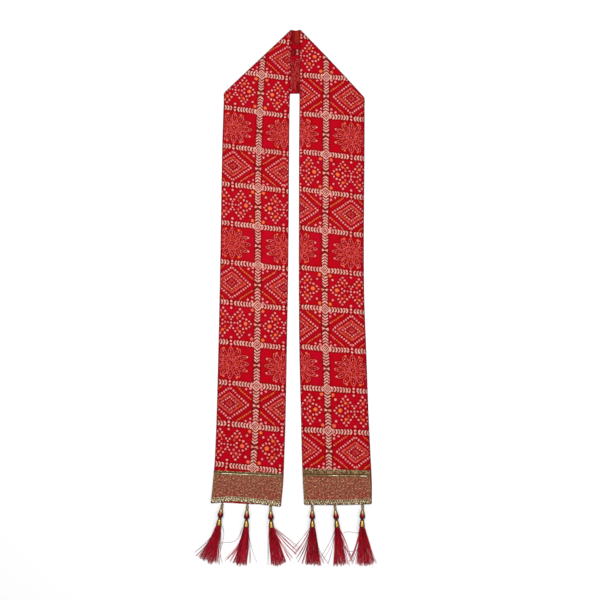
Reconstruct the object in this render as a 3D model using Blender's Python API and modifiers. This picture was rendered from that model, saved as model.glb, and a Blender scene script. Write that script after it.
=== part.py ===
"""A dupatta stole laid flat: a narrow tube of printed cloth, folded slantwise twice at the neck.

Metres, +Z up. The stole lies on the plane z = 0, its neck fold towards +Y and its tassels towards -Y.
The origin is on that plane, at the middle of the laid-out extent. The tables hold millimetres.
"""

import math
import random
from collections import namedtuple

import bmesh
import bpy

MM = 0.001

# Driving dimensions.
SEAM_GAP = 0.3 * MM  # between pieces that touch
BAND_WIDTH = 131 * MM  # the flattened tube, across
BAND_WALL = 2.2 * MM  # both layers of a leg, pressed flat
NECK_WALL = 2.0 * MM  # both layers of the stretch behind the legs
LIFT = NECK_WALL + SEAM_GAP  # how far a leg is raised where it lies on the neck
FOLD_RADIUS = (LIFT + BAND_WALL) / 2
RAMP_LENGTH = 15 * MM  # over which a leg climbs onto the neck
RAMP_CLEAR = 1.0 * MM  # the climb ends this far before the neck's lower edge
EDGE_SOFT = 2.6 * MM  # how far in from a side edge the tube is rounded off
HEM_SOFT = 1.6 * MM  # the same at the hem
EDGE_SHARE = 0.42  # how much of a wall's height is left at its very edge
TOP_Y = 524.6 * MM  # the two upper corners of the neck fold

BORDER_WALL = 1.1 * MM
BORDER_SOFT = 1.0 * MM
UPPER_BRAID_WIDTH = 6.5 * MM
UPPER_BRAID_HEIGHT = 1.3 * MM
LOWER_BRAID_WIDTH = 9.5 * MM
LOWER_BRAID_HEIGHT = 1.7 * MM
PLAITS = 14  # plaits across a braid
PLAIT_PINCH = 0.28  # how much narrower and lower a braid is between two plaits

CORD_RADIUS = 0.85 * MM
LOOP_LENGTH = 10.6 * MM
LOOP_HALF_WIDTH = 1.8 * MM
BEAD_RADIUS = 5.3 * MM
BEAD_HALF_LENGTH = 5.5 * MM
TIP_LENGTH = 7.6 * MM
TIP_MOUTH_RADIUS = 2.1 * MM
TIP_RIM_RADIUS = 4.2 * MM
BELL_LENGTH = 12.6 * MM
BELL_NECK_RADIUS = 2.7 * MM
BELL_MOUTH_RADIUS = 4.8 * MM
BELL_WALL = 0.6 * MM
BELL_RECESS = 5.4 * MM  # how deep the silk goes in
STRAND_LENGTH = 72 * MM  # outside the bell
STRAND_COLUMNS = 7
STRAND_ROWS = 4
STRAND_PITCH = (0.92 * MM, 0.88 * MM)  # between roots, across and up
STRAND_HALF = (0.34 * MM, 0.62 * MM, 0.3 * MM)  # half a strand's thickness: root, middle, tip
STRAND_FLOOR = 0.8 * MM  # height of the lowest strands where they lie
STRAND_STACK = (1.35 * MM, 0.8 * MM)  # between layers, in the middle and at the tips
STRAND_STATIONS = (0.12, 0.45, 1.0)  # where a strand has a section, as shares of its length
STRAND_LEAN = 0.72  # how much of its final lean a strand has at its root
STRAND_LENGTHS = (0.93, 1.0)  # the shortest and the longest strand
STRAND_WAVE = 0.03  # how far a tassel's silk may wave, in radians
ROW_SPREAD = 0.45  # how far the rows stand out of line with each other, in columns

# Side edges of each leg at some heights.
Edge = namedtuple("Edge", "y left right")
LEG_EDGES = {
    "left": (
        Edge(-412.5, -142.4, -12.0),
        Edge(-374.5, -139.0, -8.4),
        Edge(-329.5, -135.9, -6.5),
        Edge(-249.5, -133.8, -4.2),
        Edge(-129.5, -132.4, -2.3),
        Edge(30.5, -131.4, 0.1),
        Edge(270.5, -131.0, 1.4),
        Edge(387.5, -129.2, 2.6),
        Edge(440.0, -129.2, 5.1),
        Edge(524.6, -129.2, 5.8),
    ),
    "right": (
        Edge(-411.5, 30.4, 155.5),
        Edge(-374.5, 28.3, 156.1),
        Edge(-329.5, 26.4, 154.6),
        Edge(-249.5, 24.6, 151.6),
        Edge(-129.5, 21.7, 148.9),
        Edge(-29.5, 20.7, 146.3),
        Edge(70.5, 20.6, 146.6),
        Edge(270.5, 20.9, 150.3),
        Edge(372.5, 21.7, 151.6),
        Edge(524.6, 22.3, 151.6),
    ),
}

# Each slanting fold, by the heights where it meets the left and the right edge of its leg, and how
# far it bows out between them.
Crease = namedtuple("Crease", "left right bow")
CREASES = {"left": Crease(388.6, 524.6, -0.3), "right": Crease(524.6, 378.6, 1.8)}

# The neck's lower edge, which shows in the gap between the legs.
Corner = namedtuple("Corner", "x y")
NECK_LOWER = (Corner(-129.2, 386.0), Corner(3.3, 388.4), Corner(22.3, 388.8), Corner(151.6, 375.0))
NECK_ENDS = (-126.6, 149.8)  # where it stops inside the two folds
NECK_GAP = (6.2, 21.9)  # the part of it between the folds' upper corners
NECK_DIP = 1.9  # how far its upper edge sags there
NECK_PLEAT = Corner(7.9, 0.55)  # where a soft pleat runs down it, and how deep

# The hem of each leg: across the band from its left edge, the cloth's end and the lace's end.
Hem = namedtuple("Hem", "across cloth lace")
HEMS = {
    "left": (
        Hem(0.0, -408.3, -409.6),
        Hem(0.27, -409.3, -406.9),
        Hem(0.55, -411.4, -409.2),
        Hem(0.8, -411.8, -412.9),
        Hem(1.0, -415.0, -416.2),
    ),
    "right": (Hem(0.0, -411.2, -412.4), Hem(0.5, -411.6, -412.7), Hem(1.0, -410.4, -411.2)),
}

# The lace border: its upper edge at the left and the right, and how far in from the band's edges it ends.
Border = namedtuple("Border", "upper_left upper_right inset_left inset_right")
BORDERS = {"left": Border(-350.2, -356.0, 0.2, 0.3), "right": Border(-351.4, -353.3, 0.3, 2.3)}

# Soft swells of the upper layer: centre, reach across and along, height.
Swell = namedtuple("Swell", "x y across along height")
SWELLS = {
    "left": (
        Swell(-92.7, 300.0, 42.0, 70.0, 0.6),
        Swell(-36.7, 190.0, 36.0, 80.0, 0.7),
        Swell(-96.7, 60.0, 40.0, 85.0, 0.5),
        Swell(-44.7, -70.0, 44.0, 75.0, 0.7),
        Swell(-88.7, -215.0, 42.0, 65.0, 0.6),
    ),
    "right": (
        Swell(63.3, 320.0, 36.0, 60.0, 0.6),
        Swell(111.3, 215.0, 38.0, 75.0, 0.7),
        Swell(59.3, 80.0, 34.0, 80.0, 0.5),
        Swell(107.3, -60.0, 38.0, 85.0, 0.7),
        Swell(69.3, -200.0, 40.0, 70.0, 0.6),
    ),
}
SWELL_ENDS = (-330 * MM, -290 * MM)  # the swells fade out here, above the lace

# Tassels: where each hangs across the band, how its metalwork swings (degrees towards +X), and how
# far its silk fans out to the left and to the right of the bell.
Tassel = namedtuple("Tassel", "across swing fan_left fan_right")
TASSELS = {
    "left": (
        Tassel(0.168, -9.0, -33.0, 2.0),
        Tassel(0.522, -2.5, -24.0, 3.0),
        Tassel(0.850, 2.5, -1.5, 32.0),
    ),
    "right": (
        Tassel(0.119, 0.4, -24.0, 15.5),
        Tassel(0.452, 5.5, -8.0, 23.0),
        Tassel(0.865, -3.0, -18.0, 24.5),
    ),
}

LEG_ROWS = 27  # rows of faces between the hem and the climb
LEG_COLUMNS = 9  # columns of faces between the rounded side edges
TOP_ROWS = 5  # rows between the climb and the fold
FOLD_STEPS = 4  # faces round the fold

BEAD_SEGMENTS = 14
TURN_STEPS = 14
LOOP_POINTS = 14


def mix(a, b, t):
    return a + (b - a) * t


def smooth(t):
    t = min(max(t, 0.0), 1.0)
    return t * t * (3 - 2 * t)


def along_table(rows, key, column, at):
    """The table's column at a place, on a smooth curve through its rows."""
    keys = [getattr(row, key) for row in rows]
    values = [getattr(row, column) for row in rows]
    if at <= keys[0] or len(keys) < 2:
        return values[0]
    if at >= keys[-1]:
        return values[-1]
    i = max(k for k in range(len(keys) - 1) if keys[k] <= at)

    def slope(k):
        before, after = max(k - 1, 0), min(k + 1, len(keys) - 1)
        return (values[after] - values[before]) / (keys[after] - keys[before])

    step = keys[i + 1] - keys[i]
    t = (at - keys[i]) / step
    start = (1 + 2 * t) * (1 - t) ** 2 * values[i] + t * (1 - t) ** 2 * step * slope(i)
    end = t * t * (3 - 2 * t) * values[i + 1] - t * t * (1 - t) * step * slope(i + 1)
    return start + end


def straight_table(rows, at):
    """The height of a chain of corners at a place across, in millimetres."""
    for a, b in zip(rows, rows[1:]):
        if at <= b.x:
            return mix(a.y, b.y, max(at - a.x, 0.0) / (b.x - a.x))
    return rows[-1].y


def band_x(side, across, y):
    """The place across of a point of a leg, from its share of the way over the band."""
    left = along_table(LEG_EDGES[side], "y", "left", y / MM)
    right = along_table(LEG_EDGES[side], "y", "right", y / MM)
    return mix(left, right, across) * MM


def hem_y(side, across, column):
    return along_table(HEMS[side], "across", column, across) * MM


def crease_y(side, across):
    crease = CREASES[side]
    return (mix(crease.left, crease.right, across) + 4 * crease.bow * across * (1 - across)) * MM


def crease_slope(side):
    """How much longer a distance square to the fold is when it is measured along Y."""
    rise = (CREASES[side].right - CREASES[side].left) * MM
    run = band_x(side, 1, TOP_Y) - band_x(side, 0, TOP_Y)
    return math.hypot(run, rise) / run


def climb_end(x):
    return straight_table(NECK_LOWER, x / MM) * MM - RAMP_CLEAR


def lift_at(x, y):
    return LIFT * smooth((y - climb_end(x) + RAMP_LENGTH) / RAMP_LENGTH)


def swell_at(side, x, y):
    """How far the upper layer stands off the lower one."""
    total = 0.0
    for s in SWELLS[side]:
        away = ((x / MM - s.x) / s.across) ** 2 + ((y / MM - s.y) / s.along) ** 2
        total += s.height * MM * math.exp(-away)
    return total * smooth((y - SWELL_ENDS[0]) / (SWELL_ENDS[1] - SWELL_ENDS[0]))


def rounded(distance, reach):
    """The share of a wall's full height at a distance in from its edge."""
    t = min(max(distance / reach, 0.0), 1.0)
    return mix(EDGE_SHARE, 1.0, math.sqrt(1 - (1 - t) ** 2))


def principled(name, colour, roughness, metallic=0.0):
    material = bpy.data.materials.new(name)
    material.use_nodes = True
    shader = material.node_tree.nodes["Principled BSDF"]
    shader.inputs["Base Color"].default_value = (*colour, 1.0)
    shader.inputs["Roughness"].default_value = roughness
    shader.inputs["Metallic"].default_value = metallic
    return material


def new_object(name, data, material, parent=None):
    """An object in the stole's collection."""
    obj = bpy.data.objects.new(name, data)
    if not data.materials:
        data.materials.append(material)
    stole.objects.link(obj)
    obj.parent = parent
    return obj


def finish_mesh(name, bm):
    bmesh.ops.recalc_face_normals(bm, faces=bm.faces)
    mesh = bpy.data.meshes.new(name)
    bm.to_mesh(mesh)
    bm.free()
    mesh.shade_smooth()
    mesh.set_sharp_from_angle(angle=math.radians(40))
    return mesh


def loft(name, rings):
    """A closed mesh through rings that have the same number of points."""
    bm = bmesh.new()
    lines = [[bm.verts.new(point) for point in ring] for ring in rings]
    count = len(lines[0])
    for a, b in zip(lines, lines[1:]):
        for i in range(count):
            j = (i + 1) % count
            bm.faces.new((a[i], a[j], b[j], b[i]))
    for ring in (lines[0], lines[-1]):
        cap = bm.faces.new(ring)
        bmesh.ops.triangulate(bm, faces=[cap])
    return finish_mesh(name, bm)


def shares_across(width, soft, columns):
    """Places across a wall, close together at its two rounded edges."""
    inner = [mix(soft, width - soft, i / columns) for i in range(columns + 1)]
    return [d / width for d in [0.0, 0.3 * soft, *inner, width - 0.3 * soft, width]]


def leg_ring(side, across):
    """One lengthwise section of a leg: up its underside, round the fold and back over its top."""
    hem, crease = hem_y(side, across, "cloth"), crease_y(side, across)
    turn = crease - FOLD_RADIUS * crease_slope(side)  # where the wall starts to roll under
    side_round = rounded(min(across, 1 - across) * BAND_WIDTH, EDGE_SOFT)
    start = climb_end(band_x(side, across, turn)) - RAMP_LENGTH
    heights = [hem, hem + HEM_SOFT]
    heights += [mix(hem, start, i / LEG_ROWS) for i in range(1, LEG_ROWS + 1)]
    heights += [start + RAMP_LENGTH * t for t in (0.33, 0.67)]
    heights += [mix(start + RAMP_LENGTH, turn, i / TOP_ROWS) for i in range(TOP_ROWS + 1)]
    under, over = [], []
    for y in heights:
        x = band_x(side, across, y)
        low = lift_at(x, y)
        wall = BAND_WALL * side_round * rounded(y - hem, HEM_SOFT)
        under.append((x, y, low))
        over.append((x, y, low + wall + swell_at(side, x, y) * side_round))
    lip = [(under[-1][0], turn, 0.0)]
    half = over[-1][2] / 2
    for i in range(1, FOLD_STEPS):
        angle = math.pi * (i / FOLD_STEPS - 0.5)
        y = turn + (crease - turn) * math.cos(angle)
        lip.append((band_x(side, across, y), y, half + half * math.sin(angle)))
    return under + lip + over[::-1]


def make_leg(side):
    shares = shares_across(BAND_WIDTH, EDGE_SOFT, LEG_COLUMNS)
    mesh = loft(f"leg_{side}", [leg_ring(side, across) for across in shares])
    return new_object(f"leg_{side}", mesh, CLOTH)


def neck_upper(x):
    """The neck's upper edge: just inside the folds, and with a slight sag between them."""
    if NECK_GAP[0] <= x <= NECK_GAP[1]:
        share = (x - NECK_GAP[0]) / (NECK_GAP[1] - NECK_GAP[0])
        return TOP_Y - (0.6 + NECK_DIP * math.sin(math.pi * share)) * MM
    side = "left" if x < NECK_GAP[0] else "right"
    left, right = band_x(side, 0, TOP_Y), band_x(side, 1, TOP_Y)
    across = (x * MM - left) / (right - left)
    return crease_y(side, across) - (FOLD_RADIUS + SEAM_GAP) * crease_slope(side)


def neck_wall(x, share):
    """The neck's height: flat under the legs, with a soft pleat in the gap between them."""
    inside = smooth((x - NECK_GAP[0]) / 3) * smooth((NECK_GAP[1] - x) / 3)
    trough = math.exp(-(((x - NECK_PLEAT.x) / 2.2) ** 2))
    ridge = math.exp(-(((x - NECK_PLEAT.x - 6) / 3.2) ** 2)) * (0.4 + 0.6 * share)
    return NECK_WALL + (ridge - trough) * NECK_PLEAT.y * MM * inside


def make_neck():
    left, right = NECK_ENDS
    step = 0.25  # either side of a corner of the upper edge
    places = [left, left + 3, -102.0, -75.0, -49.0, -23.0, -5.0]
    places += [NECK_GAP[0] - step, NECK_GAP[0], 7.9, 9.8, 11.8, 13.9, 16.1, 18.8]
    places += [NECK_GAP[1], NECK_GAP[1] + step, 33.0, 56.0, 79.0, 102.0, 126.0, right - 3, right]
    rings = []
    for x in places:
        low, high = straight_table(NECK_LOWER, x) * MM, neck_upper(x)
        shares = (0.0, 0.03, 0.2, 0.4, 0.6, 0.8, 0.97, 1.0)
        heights = [mix(low, high, share) for share in shares]
        under = [(x * MM, y, 0.0) for y in heights]
        over = []
        for share, y in zip(shares, heights):
            wall = neck_wall(x, share) * rounded(min(share, 1 - share), 0.03)
            over.append((x * MM, y, wall))
        rings.append(under + over[::-1])
    return new_object("neck", loft("neck", rings), CLOTH)


def lace_share(side, share, y):
    """A place across the lace as a place across the band."""
    border = BORDERS[side]
    width = band_x(side, 1, y) - band_x(side, 0, y)
    return mix(border.inset_left * MM / width, 1 - border.inset_right * MM / width, share)


def lace_edges(side, share):
    """The lace's lower and upper edge at a place across it."""
    border = BORDERS[side]
    upper = mix(border.upper_left, border.upper_right, share) * MM
    return hem_y(side, lace_share(side, share, upper), "lace"), upper


def make_border(side):
    """The lace border: a thin panel on the leg's points, moved out by the seam gap."""
    rings = []
    floor = BAND_WALL + SEAM_GAP
    for share in shares_across(BAND_WIDTH, BORDER_SOFT, 10):
        low, high = lace_edges(side, share)
        side_round = rounded(min(share, 1 - share) * BAND_WIDTH, BORDER_SOFT)
        heights = [low, low + BORDER_SOFT]
        heights += [mix(low, high, t) for t in (0.25, 0.5, 0.75)]
        heights += [high - BORDER_SOFT, high]
        under, over = [], []
        for y in heights:
            x = band_x(side, lace_share(side, share, y), y)
            wall = BORDER_WALL * side_round * rounded(min(y - low, high - y), BORDER_SOFT)
            under.append((x, y, floor))
            over.append((x, y, floor + wall))
        rings.append(under + over[::-1])
    return new_object(f"border_{side}", loft(f"border_{side}", rings), LACE)


def make_braid(name, side, width, height, edge):
    """A plaited braid on the lace, along its lower (0) or its upper (1) edge."""
    rings = []
    floor = BAND_WALL + SEAM_GAP + BORDER_WALL + SEAM_GAP
    steps = 2 * PLAITS
    for i in range(steps + 1):
        share = mix(0.004, 0.996, i / steps)
        inward = width / 2 * (1 - 2 * edge)
        middle = lace_edges(side, share)[edge] + inward
        plait = 1 - PLAIT_PINCH * (i % 2)
        end = 0.7 if i in (0, steps) else 1.0
        ring = []
        for offset, rise in ((-1, 0), (1, 0), (1, 0.45), (0.5, 1), (-0.5, 1), (-1, 0.45)):
            y = middle + offset * width / 2 * plait
            x = band_x(side, lace_share(side, share, y), y)
            ring.append((x, y, floor + height * plait * end * rise))
        rings.append(ring)
    return new_object(name, loft(name, rings), BRAID)


def turned(name, profile):
    """A mesh turned about Z from (radius, place along the axis) points, given top to bottom."""
    mesh = bpy.data.meshes.new(name + "_profile")
    edges = [(i, i + 1) for i in range(len(profile) - 1)]
    mesh.from_pydata([(r, 0, z) for r, z in profile], edges, [])
    lathe = bpy.data.objects.new(name + "_profile", mesh)
    screw = lathe.modifiers.new("turn", "SCREW")
    screw.steps = TURN_STEPS
    screw.render_steps = TURN_STEPS
    screw.use_merge_vertices = True
    screw.merge_threshold = 0.01 * MM
    helpers.objects.link(lathe)
    bpy.context.view_layer.update()
    solid = bpy.data.meshes.new_from_object(lathe.evaluated_get(bpy.context.evaluated_depsgraph_get()))
    bpy.data.objects.remove(lathe)
    bpy.data.meshes.remove(mesh)
    bm = bmesh.new()
    bm.from_mesh(solid)
    bpy.data.meshes.remove(solid)
    return finish_mesh(name, bm)


def tip_mesh():
    """The small cone above the bead: a narrow mouth, a flared side and a seat round the bead's crown."""
    seat = []
    for r in (TIP_RIM_RADIUS, 3.1 * MM, 1.7 * MM, 0.0):
        crown = BEAD_HALF_LENGTH * math.sqrt(1 - (r / BEAD_RADIUS) ** 2)
        seat.append((r, tip_to_bead() - crown - SEAM_GAP))
    outer = [(TIP_RIM_RADIUS + 0.35 * MM, seat[0][1] - 0.5 * MM)]
    outer += [(3.3 * MM, 3.4 * MM), (2.4 * MM, 1.2 * MM), (TIP_MOUTH_RADIUS, 0.0)]
    return turned("tassel_tip", seat[::-1] + outer + [(0.0, 0.5 * MM)])


def tip_to_bead():
    """From the tip's mouth to the bead's centre."""
    crown = BEAD_HALF_LENGTH * math.sqrt(1 - (TIP_RIM_RADIUS / BEAD_RADIUS) ** 2)
    return TIP_LENGTH + crown + SEAM_GAP


def bell_mesh():
    """The bell below the bead: a narrow neck that flares to an open mouth round the silk."""
    recess = BELL_LENGTH - BELL_RECESS
    inner = BELL_MOUTH_RADIUS - BELL_WALL
    profile = [(0.0, recess), (inner - 0.5 * MM, recess), (inner, BELL_LENGTH)]
    profile += [(BELL_MOUTH_RADIUS, BELL_LENGTH), (BELL_MOUTH_RADIUS - 0.1 * MM, BELL_LENGTH - 1.2 * MM)]
    profile += [(4.25 * MM, 8.2 * MM), (3.5 * MM, 4.0 * MM), (BELL_NECK_RADIUS, 1.4 * MM)]
    profile += [(BELL_NECK_RADIUS + 0.3 * MM, 0.5 * MM), (1.9 * MM, 0.0), (0.0, 0.0)]
    return turned("tassel_bell", profile)


def bead_mesh():
    bm = bmesh.new()
    bmesh.ops.create_uvsphere(bm, u_segments=BEAD_SEGMENTS, v_segments=9, radius=BEAD_RADIUS)
    bmesh.ops.scale(bm, vec=(1, 1, BEAD_HALF_LENGTH / BEAD_RADIUS), verts=bm.verts)
    return finish_mesh("tassel_bead", bm)


def loop_curve():
    """The gold cord: a long narrow eye from the hem up to the tip's mouth."""
    curve = bpy.data.curves.new("tassel_loop", "CURVE")
    curve.dimensions = "3D"
    curve.bevel_depth = CORD_RADIUS
    curve.bevel_resolution = 1
    spline = curve.splines.new("POLY")
    spline.points.add(LOOP_POINTS - 1)
    spline.use_cyclic_u = True
    start = SEAM_GAP + CORD_RADIUS
    end = LOOP_LENGTH - SEAM_GAP - CORD_RADIUS
    for i, point in enumerate(spline.points):
        angle = math.tau * i / LOOP_POINTS
        share = (1 - math.cos(angle)) / 2
        rise = mix(CORD_RADIUS + SEAM_GAP, BEAD_RADIUS, smooth(share))
        point.co = (LOOP_HALF_WIDTH * math.sin(angle), -mix(start, end, share), rise, 1)
    return curve


def strand_place(tassel, wave, column, row, share, length):
    """The middle of a strand's section, seen from the bell's mouth, at a share of its length."""
    place = column / (STRAND_COLUMNS - 1)
    reach = mix(tassel.fan_left, tassel.fan_right, place) * MM
    column_reach = (tassel.fan_right - tassel.fan_left) / STRAND_COLUMNS * MM
    reach += (row % 2 - 0.5) * ROW_SPREAD * column_reach
    lean = math.asin(reach / STRAND_LENGTH) * mix(STRAND_LEAN, 1.0, share)
    angle = lean + wave * math.sin(5 * share)
    root = (column - (STRAND_COLUMNS - 1) / 2) * STRAND_PITCH[0] * (1 - share)
    across = root + length * share * math.sin(angle)
    down = length * share * math.cos(angle)
    hung = BEAD_RADIUS + (row - (STRAND_ROWS - 1) / 2) * STRAND_PITCH[1]
    laid = STRAND_FLOOR + row * mix(STRAND_STACK[0], STRAND_STACK[1], smooth(share * 2 - 1))
    return across, down, mix(hung, laid, smooth(share / 0.4))


def strands_mesh(name, tassel, seed):
    """The silk: a head that fits in the bell, its lower face drawn out into separate strands."""
    rng = random.Random(seed)
    wave = rng.uniform(-STRAND_WAVE, STRAND_WAVE)
    swing = math.radians(tassel.swing)
    bm = bmesh.new()
    width, depth = STRAND_COLUMNS * STRAND_PITCH[0], STRAND_ROWS * STRAND_PITCH[1]
    bmesh.ops.create_grid(bm, x_segments=STRAND_COLUMNS, y_segments=STRAND_ROWS, size=0.5)
    for v in bm.verts:
        v.co = (v.co.x * width, 0.0, v.co.y * depth + BEAD_RADIUS)
    roots = list(bm.faces)
    top = bmesh.ops.extrude_face_region(bm, geom=roots, use_keep_orig=True)["geom"]
    for v in (item for item in top if isinstance(item, bmesh.types.BMVert)):
        v.co.y += BELL_RECESS - 2 * SEAM_GAP
    for face in roots:
        middle = face.calc_center_median()
        column = round(middle.x / STRAND_PITCH[0] + (STRAND_COLUMNS - 1) / 2)
        row = round((middle.z - BEAD_RADIUS) / STRAND_PITCH[1] + (STRAND_ROWS - 1) / 2)
        length = STRAND_LENGTH * rng.uniform(*STRAND_LENGTHS)
        for share, half in zip(STRAND_STATIONS, STRAND_HALF):
            face = bmesh.ops.extrude_discrete_faces(bm, faces=[face])["faces"][0]
            across, down, height = strand_place(tassel, wave, column, row, share, length)
            x = across * math.cos(swing) - down * math.sin(swing)
            y = -down * math.cos(swing) - across * math.sin(swing)
            centre = face.calc_center_median()
            for v in face.verts:
                out_x = math.copysign(half, v.co.x - centre.x)
                out_z = math.copysign(half, v.co.z - centre.z)
                v.co = (x + out_x, y, height + out_z)
    return finish_mesh(name, bm)


def make_tassel(side, number, tassel, shared):
    """A tassel on its empty: loop, tip, bead, bell and silk, laid down in line from the hem."""
    hem = hem_y(side, tassel.across, "cloth")
    holder = bpy.data.objects.new(f"tassel_{side}_{number}", None)
    holder.location = (band_x(side, tassel.across, hem), hem, 0)
    holder.rotation_euler = (0, 0, math.radians(tassel.swing))
    stole.objects.link(holder)
    ending = f"{side}_{number}"
    new_object(f"tassel_loop_{ending}", shared["loop"], CORD, holder)
    bead_at = LOOP_LENGTH + tip_to_bead()
    bell_at = bead_at + BEAD_HALF_LENGTH + SEAM_GAP
    pieces = (("tip", LOOP_LENGTH, METAL), ("bead", bead_at, BEAD), ("bell", bell_at, METAL))
    for name, place, material in pieces:
        obj = new_object(f"tassel_{name}_{ending}", shared[name], material, holder)
        obj.location = (0, -place, BEAD_RADIUS)
        obj.rotation_euler = (math.radians(90), 0, 0)
    name = f"tassel_strands_{ending}"
    seed = 10 * number + len(side)
    silk = new_object(name, strands_mesh(name, tassel, seed), SILK, holder)
    silk.location = (0, -(bell_at + BELL_LENGTH), 0)


for old in list(bpy.data.objects):
    bpy.data.objects.remove(old, do_unlink=True)

stole = bpy.data.collections.new("dupatta_stole")
helpers = bpy.data.collections.new("helpers")
for collection in (stole, helpers):
    bpy.context.scene.collection.children.link(collection)

CLOTH = principled("printed_cloth", (0.50, 0.004, 0.016), 0.55)
LACE = principled("gold_lace", (0.36, 0.16, 0.07), 0.45, 0.5)
BRAID = principled("gold_braid", (0.52, 0.40, 0.20), 0.35, 0.8)
CORD = principled("gold_cord", (0.50, 0.38, 0.17), 0.4, 0.7)
METAL = principled("gold_metal", (0.72, 0.50, 0.14), 0.25, 1.0)
BEAD = principled("red_bead", (0.16, 0.0, 0.005), 0.12)
SILK = principled("crimson_silk", (0.34, 0.004, 0.022), 0.5)

make_neck()
tassel_meshes = {"loop": loop_curve(), "tip": tip_mesh(), "bead": bead_mesh(), "bell": bell_mesh()}
for leg_side in ("left", "right"):
    make_leg(leg_side)
    make_border(leg_side)
    make_braid(f"upper_braid_{leg_side}", leg_side, UPPER_BRAID_WIDTH, UPPER_BRAID_HEIGHT, 1)
    make_braid(f"lower_braid_{leg_side}", leg_side, LOWER_BRAID_WIDTH, LOWER_BRAID_HEIGHT, 0)
    for tassel_number, row in enumerate(TASSELS[leg_side], start=1):
        make_tassel(leg_side, tassel_number, row, tassel_meshes)
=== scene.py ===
"""The looks of a dupatta stole laid flat: printed tube of cloth, gold lace ends, beaded silk tassels.

Metres, +Z up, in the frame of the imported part: +Y runs up the legs to the neck fold, and z = 0 is the
surface that the stole lies on. The tables hold millimetres.
"""

import math
import random
from collections import namedtuple
from functools import reduce

import bpy
import numpy as np
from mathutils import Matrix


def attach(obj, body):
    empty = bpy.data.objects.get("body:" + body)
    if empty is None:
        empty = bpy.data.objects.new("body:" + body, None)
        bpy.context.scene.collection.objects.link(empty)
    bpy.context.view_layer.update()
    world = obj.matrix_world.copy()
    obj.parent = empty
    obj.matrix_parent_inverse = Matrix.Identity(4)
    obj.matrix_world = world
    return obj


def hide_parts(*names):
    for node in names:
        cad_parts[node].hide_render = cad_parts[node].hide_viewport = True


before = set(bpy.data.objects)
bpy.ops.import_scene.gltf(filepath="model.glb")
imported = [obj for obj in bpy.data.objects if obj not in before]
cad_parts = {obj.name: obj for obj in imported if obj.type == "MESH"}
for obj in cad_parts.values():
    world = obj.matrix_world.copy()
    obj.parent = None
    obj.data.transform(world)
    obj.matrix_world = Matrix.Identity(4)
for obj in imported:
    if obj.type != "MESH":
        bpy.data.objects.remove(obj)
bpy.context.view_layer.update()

MM = 0.001

# Camera: 600 by 600 pixels, looking nearly straight down.
VIEW_TARGET = (22.8 * MM, -29.5 * MM, 0.0)
VIEW_DISTANCE = 1.6
VIEW_TILT = math.radians(9)  # away from straight down, towards the tassels
VIEW_LENS = 50
VIEW_SENSOR = 36

SKY_BASE = 0.26  # brightness of the studio's walls
SKY_GAIN = 0.95  # how much brighter it is overhead

# The cloth, with the part's sizes but for a softer hem.
SEAM_GAP = 0.3 * MM
BAND_WIDTH = 131 * MM
BAND_WALL = 2.2 * MM
NECK_WALL = 2.0 * MM
LIFT = NECK_WALL + SEAM_GAP
FOLD_RADIUS = (LIFT + BAND_WALL) / 2
RAMP_LENGTH = 15 * MM
RAMP_CLEAR = 1.0 * MM
TOP_Y = 524.6 * MM

CLOTH_THICKNESS = 0.32 * MM  # one layer
# How far in the painted shade along each leg's left and right edge fades.
EDGE_SHADE = {"left": (1.5 * MM, 1.5 * MM), "right": (1.5 * MM, 2.7 * MM)}
EDGE_HEIGHT = 0.55 * MM  # height of the sharp fold along each side edge
TOP_SOFT = 2.8 * MM  # how far in the upper layer comes up to its full height
UNDER_SOFT = 1.0 * MM  # how far in the lower layer touches the surface
HEM_SOFT = 2.0 * MM  # how far up from the hem the upper layer comes to its full height
HEM_SLIT = 0.9 * MM  # height of the tube's pressed mouth

Edge = namedtuple("Edge", "y left right")
LEG_EDGES = {
    "left": (
        Edge(-412.5, -142.4, -12.0),
        Edge(-374.5, -139.0, -8.4),
        Edge(-329.5, -135.9, -6.5),
        Edge(-249.5, -133.8, -4.2),
        Edge(-129.5, -132.4, -2.3),
        Edge(30.5, -131.4, 0.1),
        Edge(270.5, -131.0, 1.4),
        Edge(387.5, -129.2, 2.6),
        Edge(440.0, -129.2, 5.1),
        Edge(524.6, -129.2, 5.8),
    ),
    "right": (
        Edge(-411.5, 30.4, 155.5),
        Edge(-374.5, 28.3, 156.1),
        Edge(-329.5, 26.4, 154.6),
        Edge(-249.5, 24.6, 151.6),
        Edge(-129.5, 21.7, 148.9),
        Edge(-29.5, 20.7, 146.3),
        Edge(70.5, 20.6, 146.6),
        Edge(270.5, 20.9, 150.3),
        Edge(372.5, 21.7, 151.6),
        Edge(524.6, 22.3, 151.6),
    ),
}

Crease = namedtuple("Crease", "left right bow")
CREASES = {"left": Crease(388.6, 524.6, -0.3), "right": Crease(524.6, 378.6, 1.8)}

Corner = namedtuple("Corner", "x y")
# The neck's lower edge, in the gap about a millimetre lower than the part's.
NECK_LOWER = (Corner(-129.2, 386.0), Corner(3.3, 387.4), Corner(22.3, 387.6), Corner(151.6, 375.0))
NECK_ENDS = (-126.6, 149.8)
NECK_GAP = (6.2, 21.9)
NECK_DIP = 1.9

Hem = namedtuple("Hem", "across cloth lace")
HEMS = {
    "left": (
        Hem(0.0, -408.3, -409.6),
        Hem(0.27, -409.3, -406.9),
        Hem(0.55, -411.4, -409.2),
        Hem(0.8, -411.8, -412.9),
        Hem(1.0, -415.0, -416.2),
    ),
    "right": (Hem(0.0, -411.2, -412.4), Hem(0.5, -411.6, -412.7), Hem(1.0, -410.4, -411.2)),
}

# The lace borders. The left one's right edge is set further in than the part's.
Border = namedtuple("Border", "upper_left upper_right inset_left inset_right")
BORDERS = {"left": Border(-350.2, -356.0, 0.2, 1.8), "right": Border(-351.4, -353.3, 0.3, 2.3)}

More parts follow.
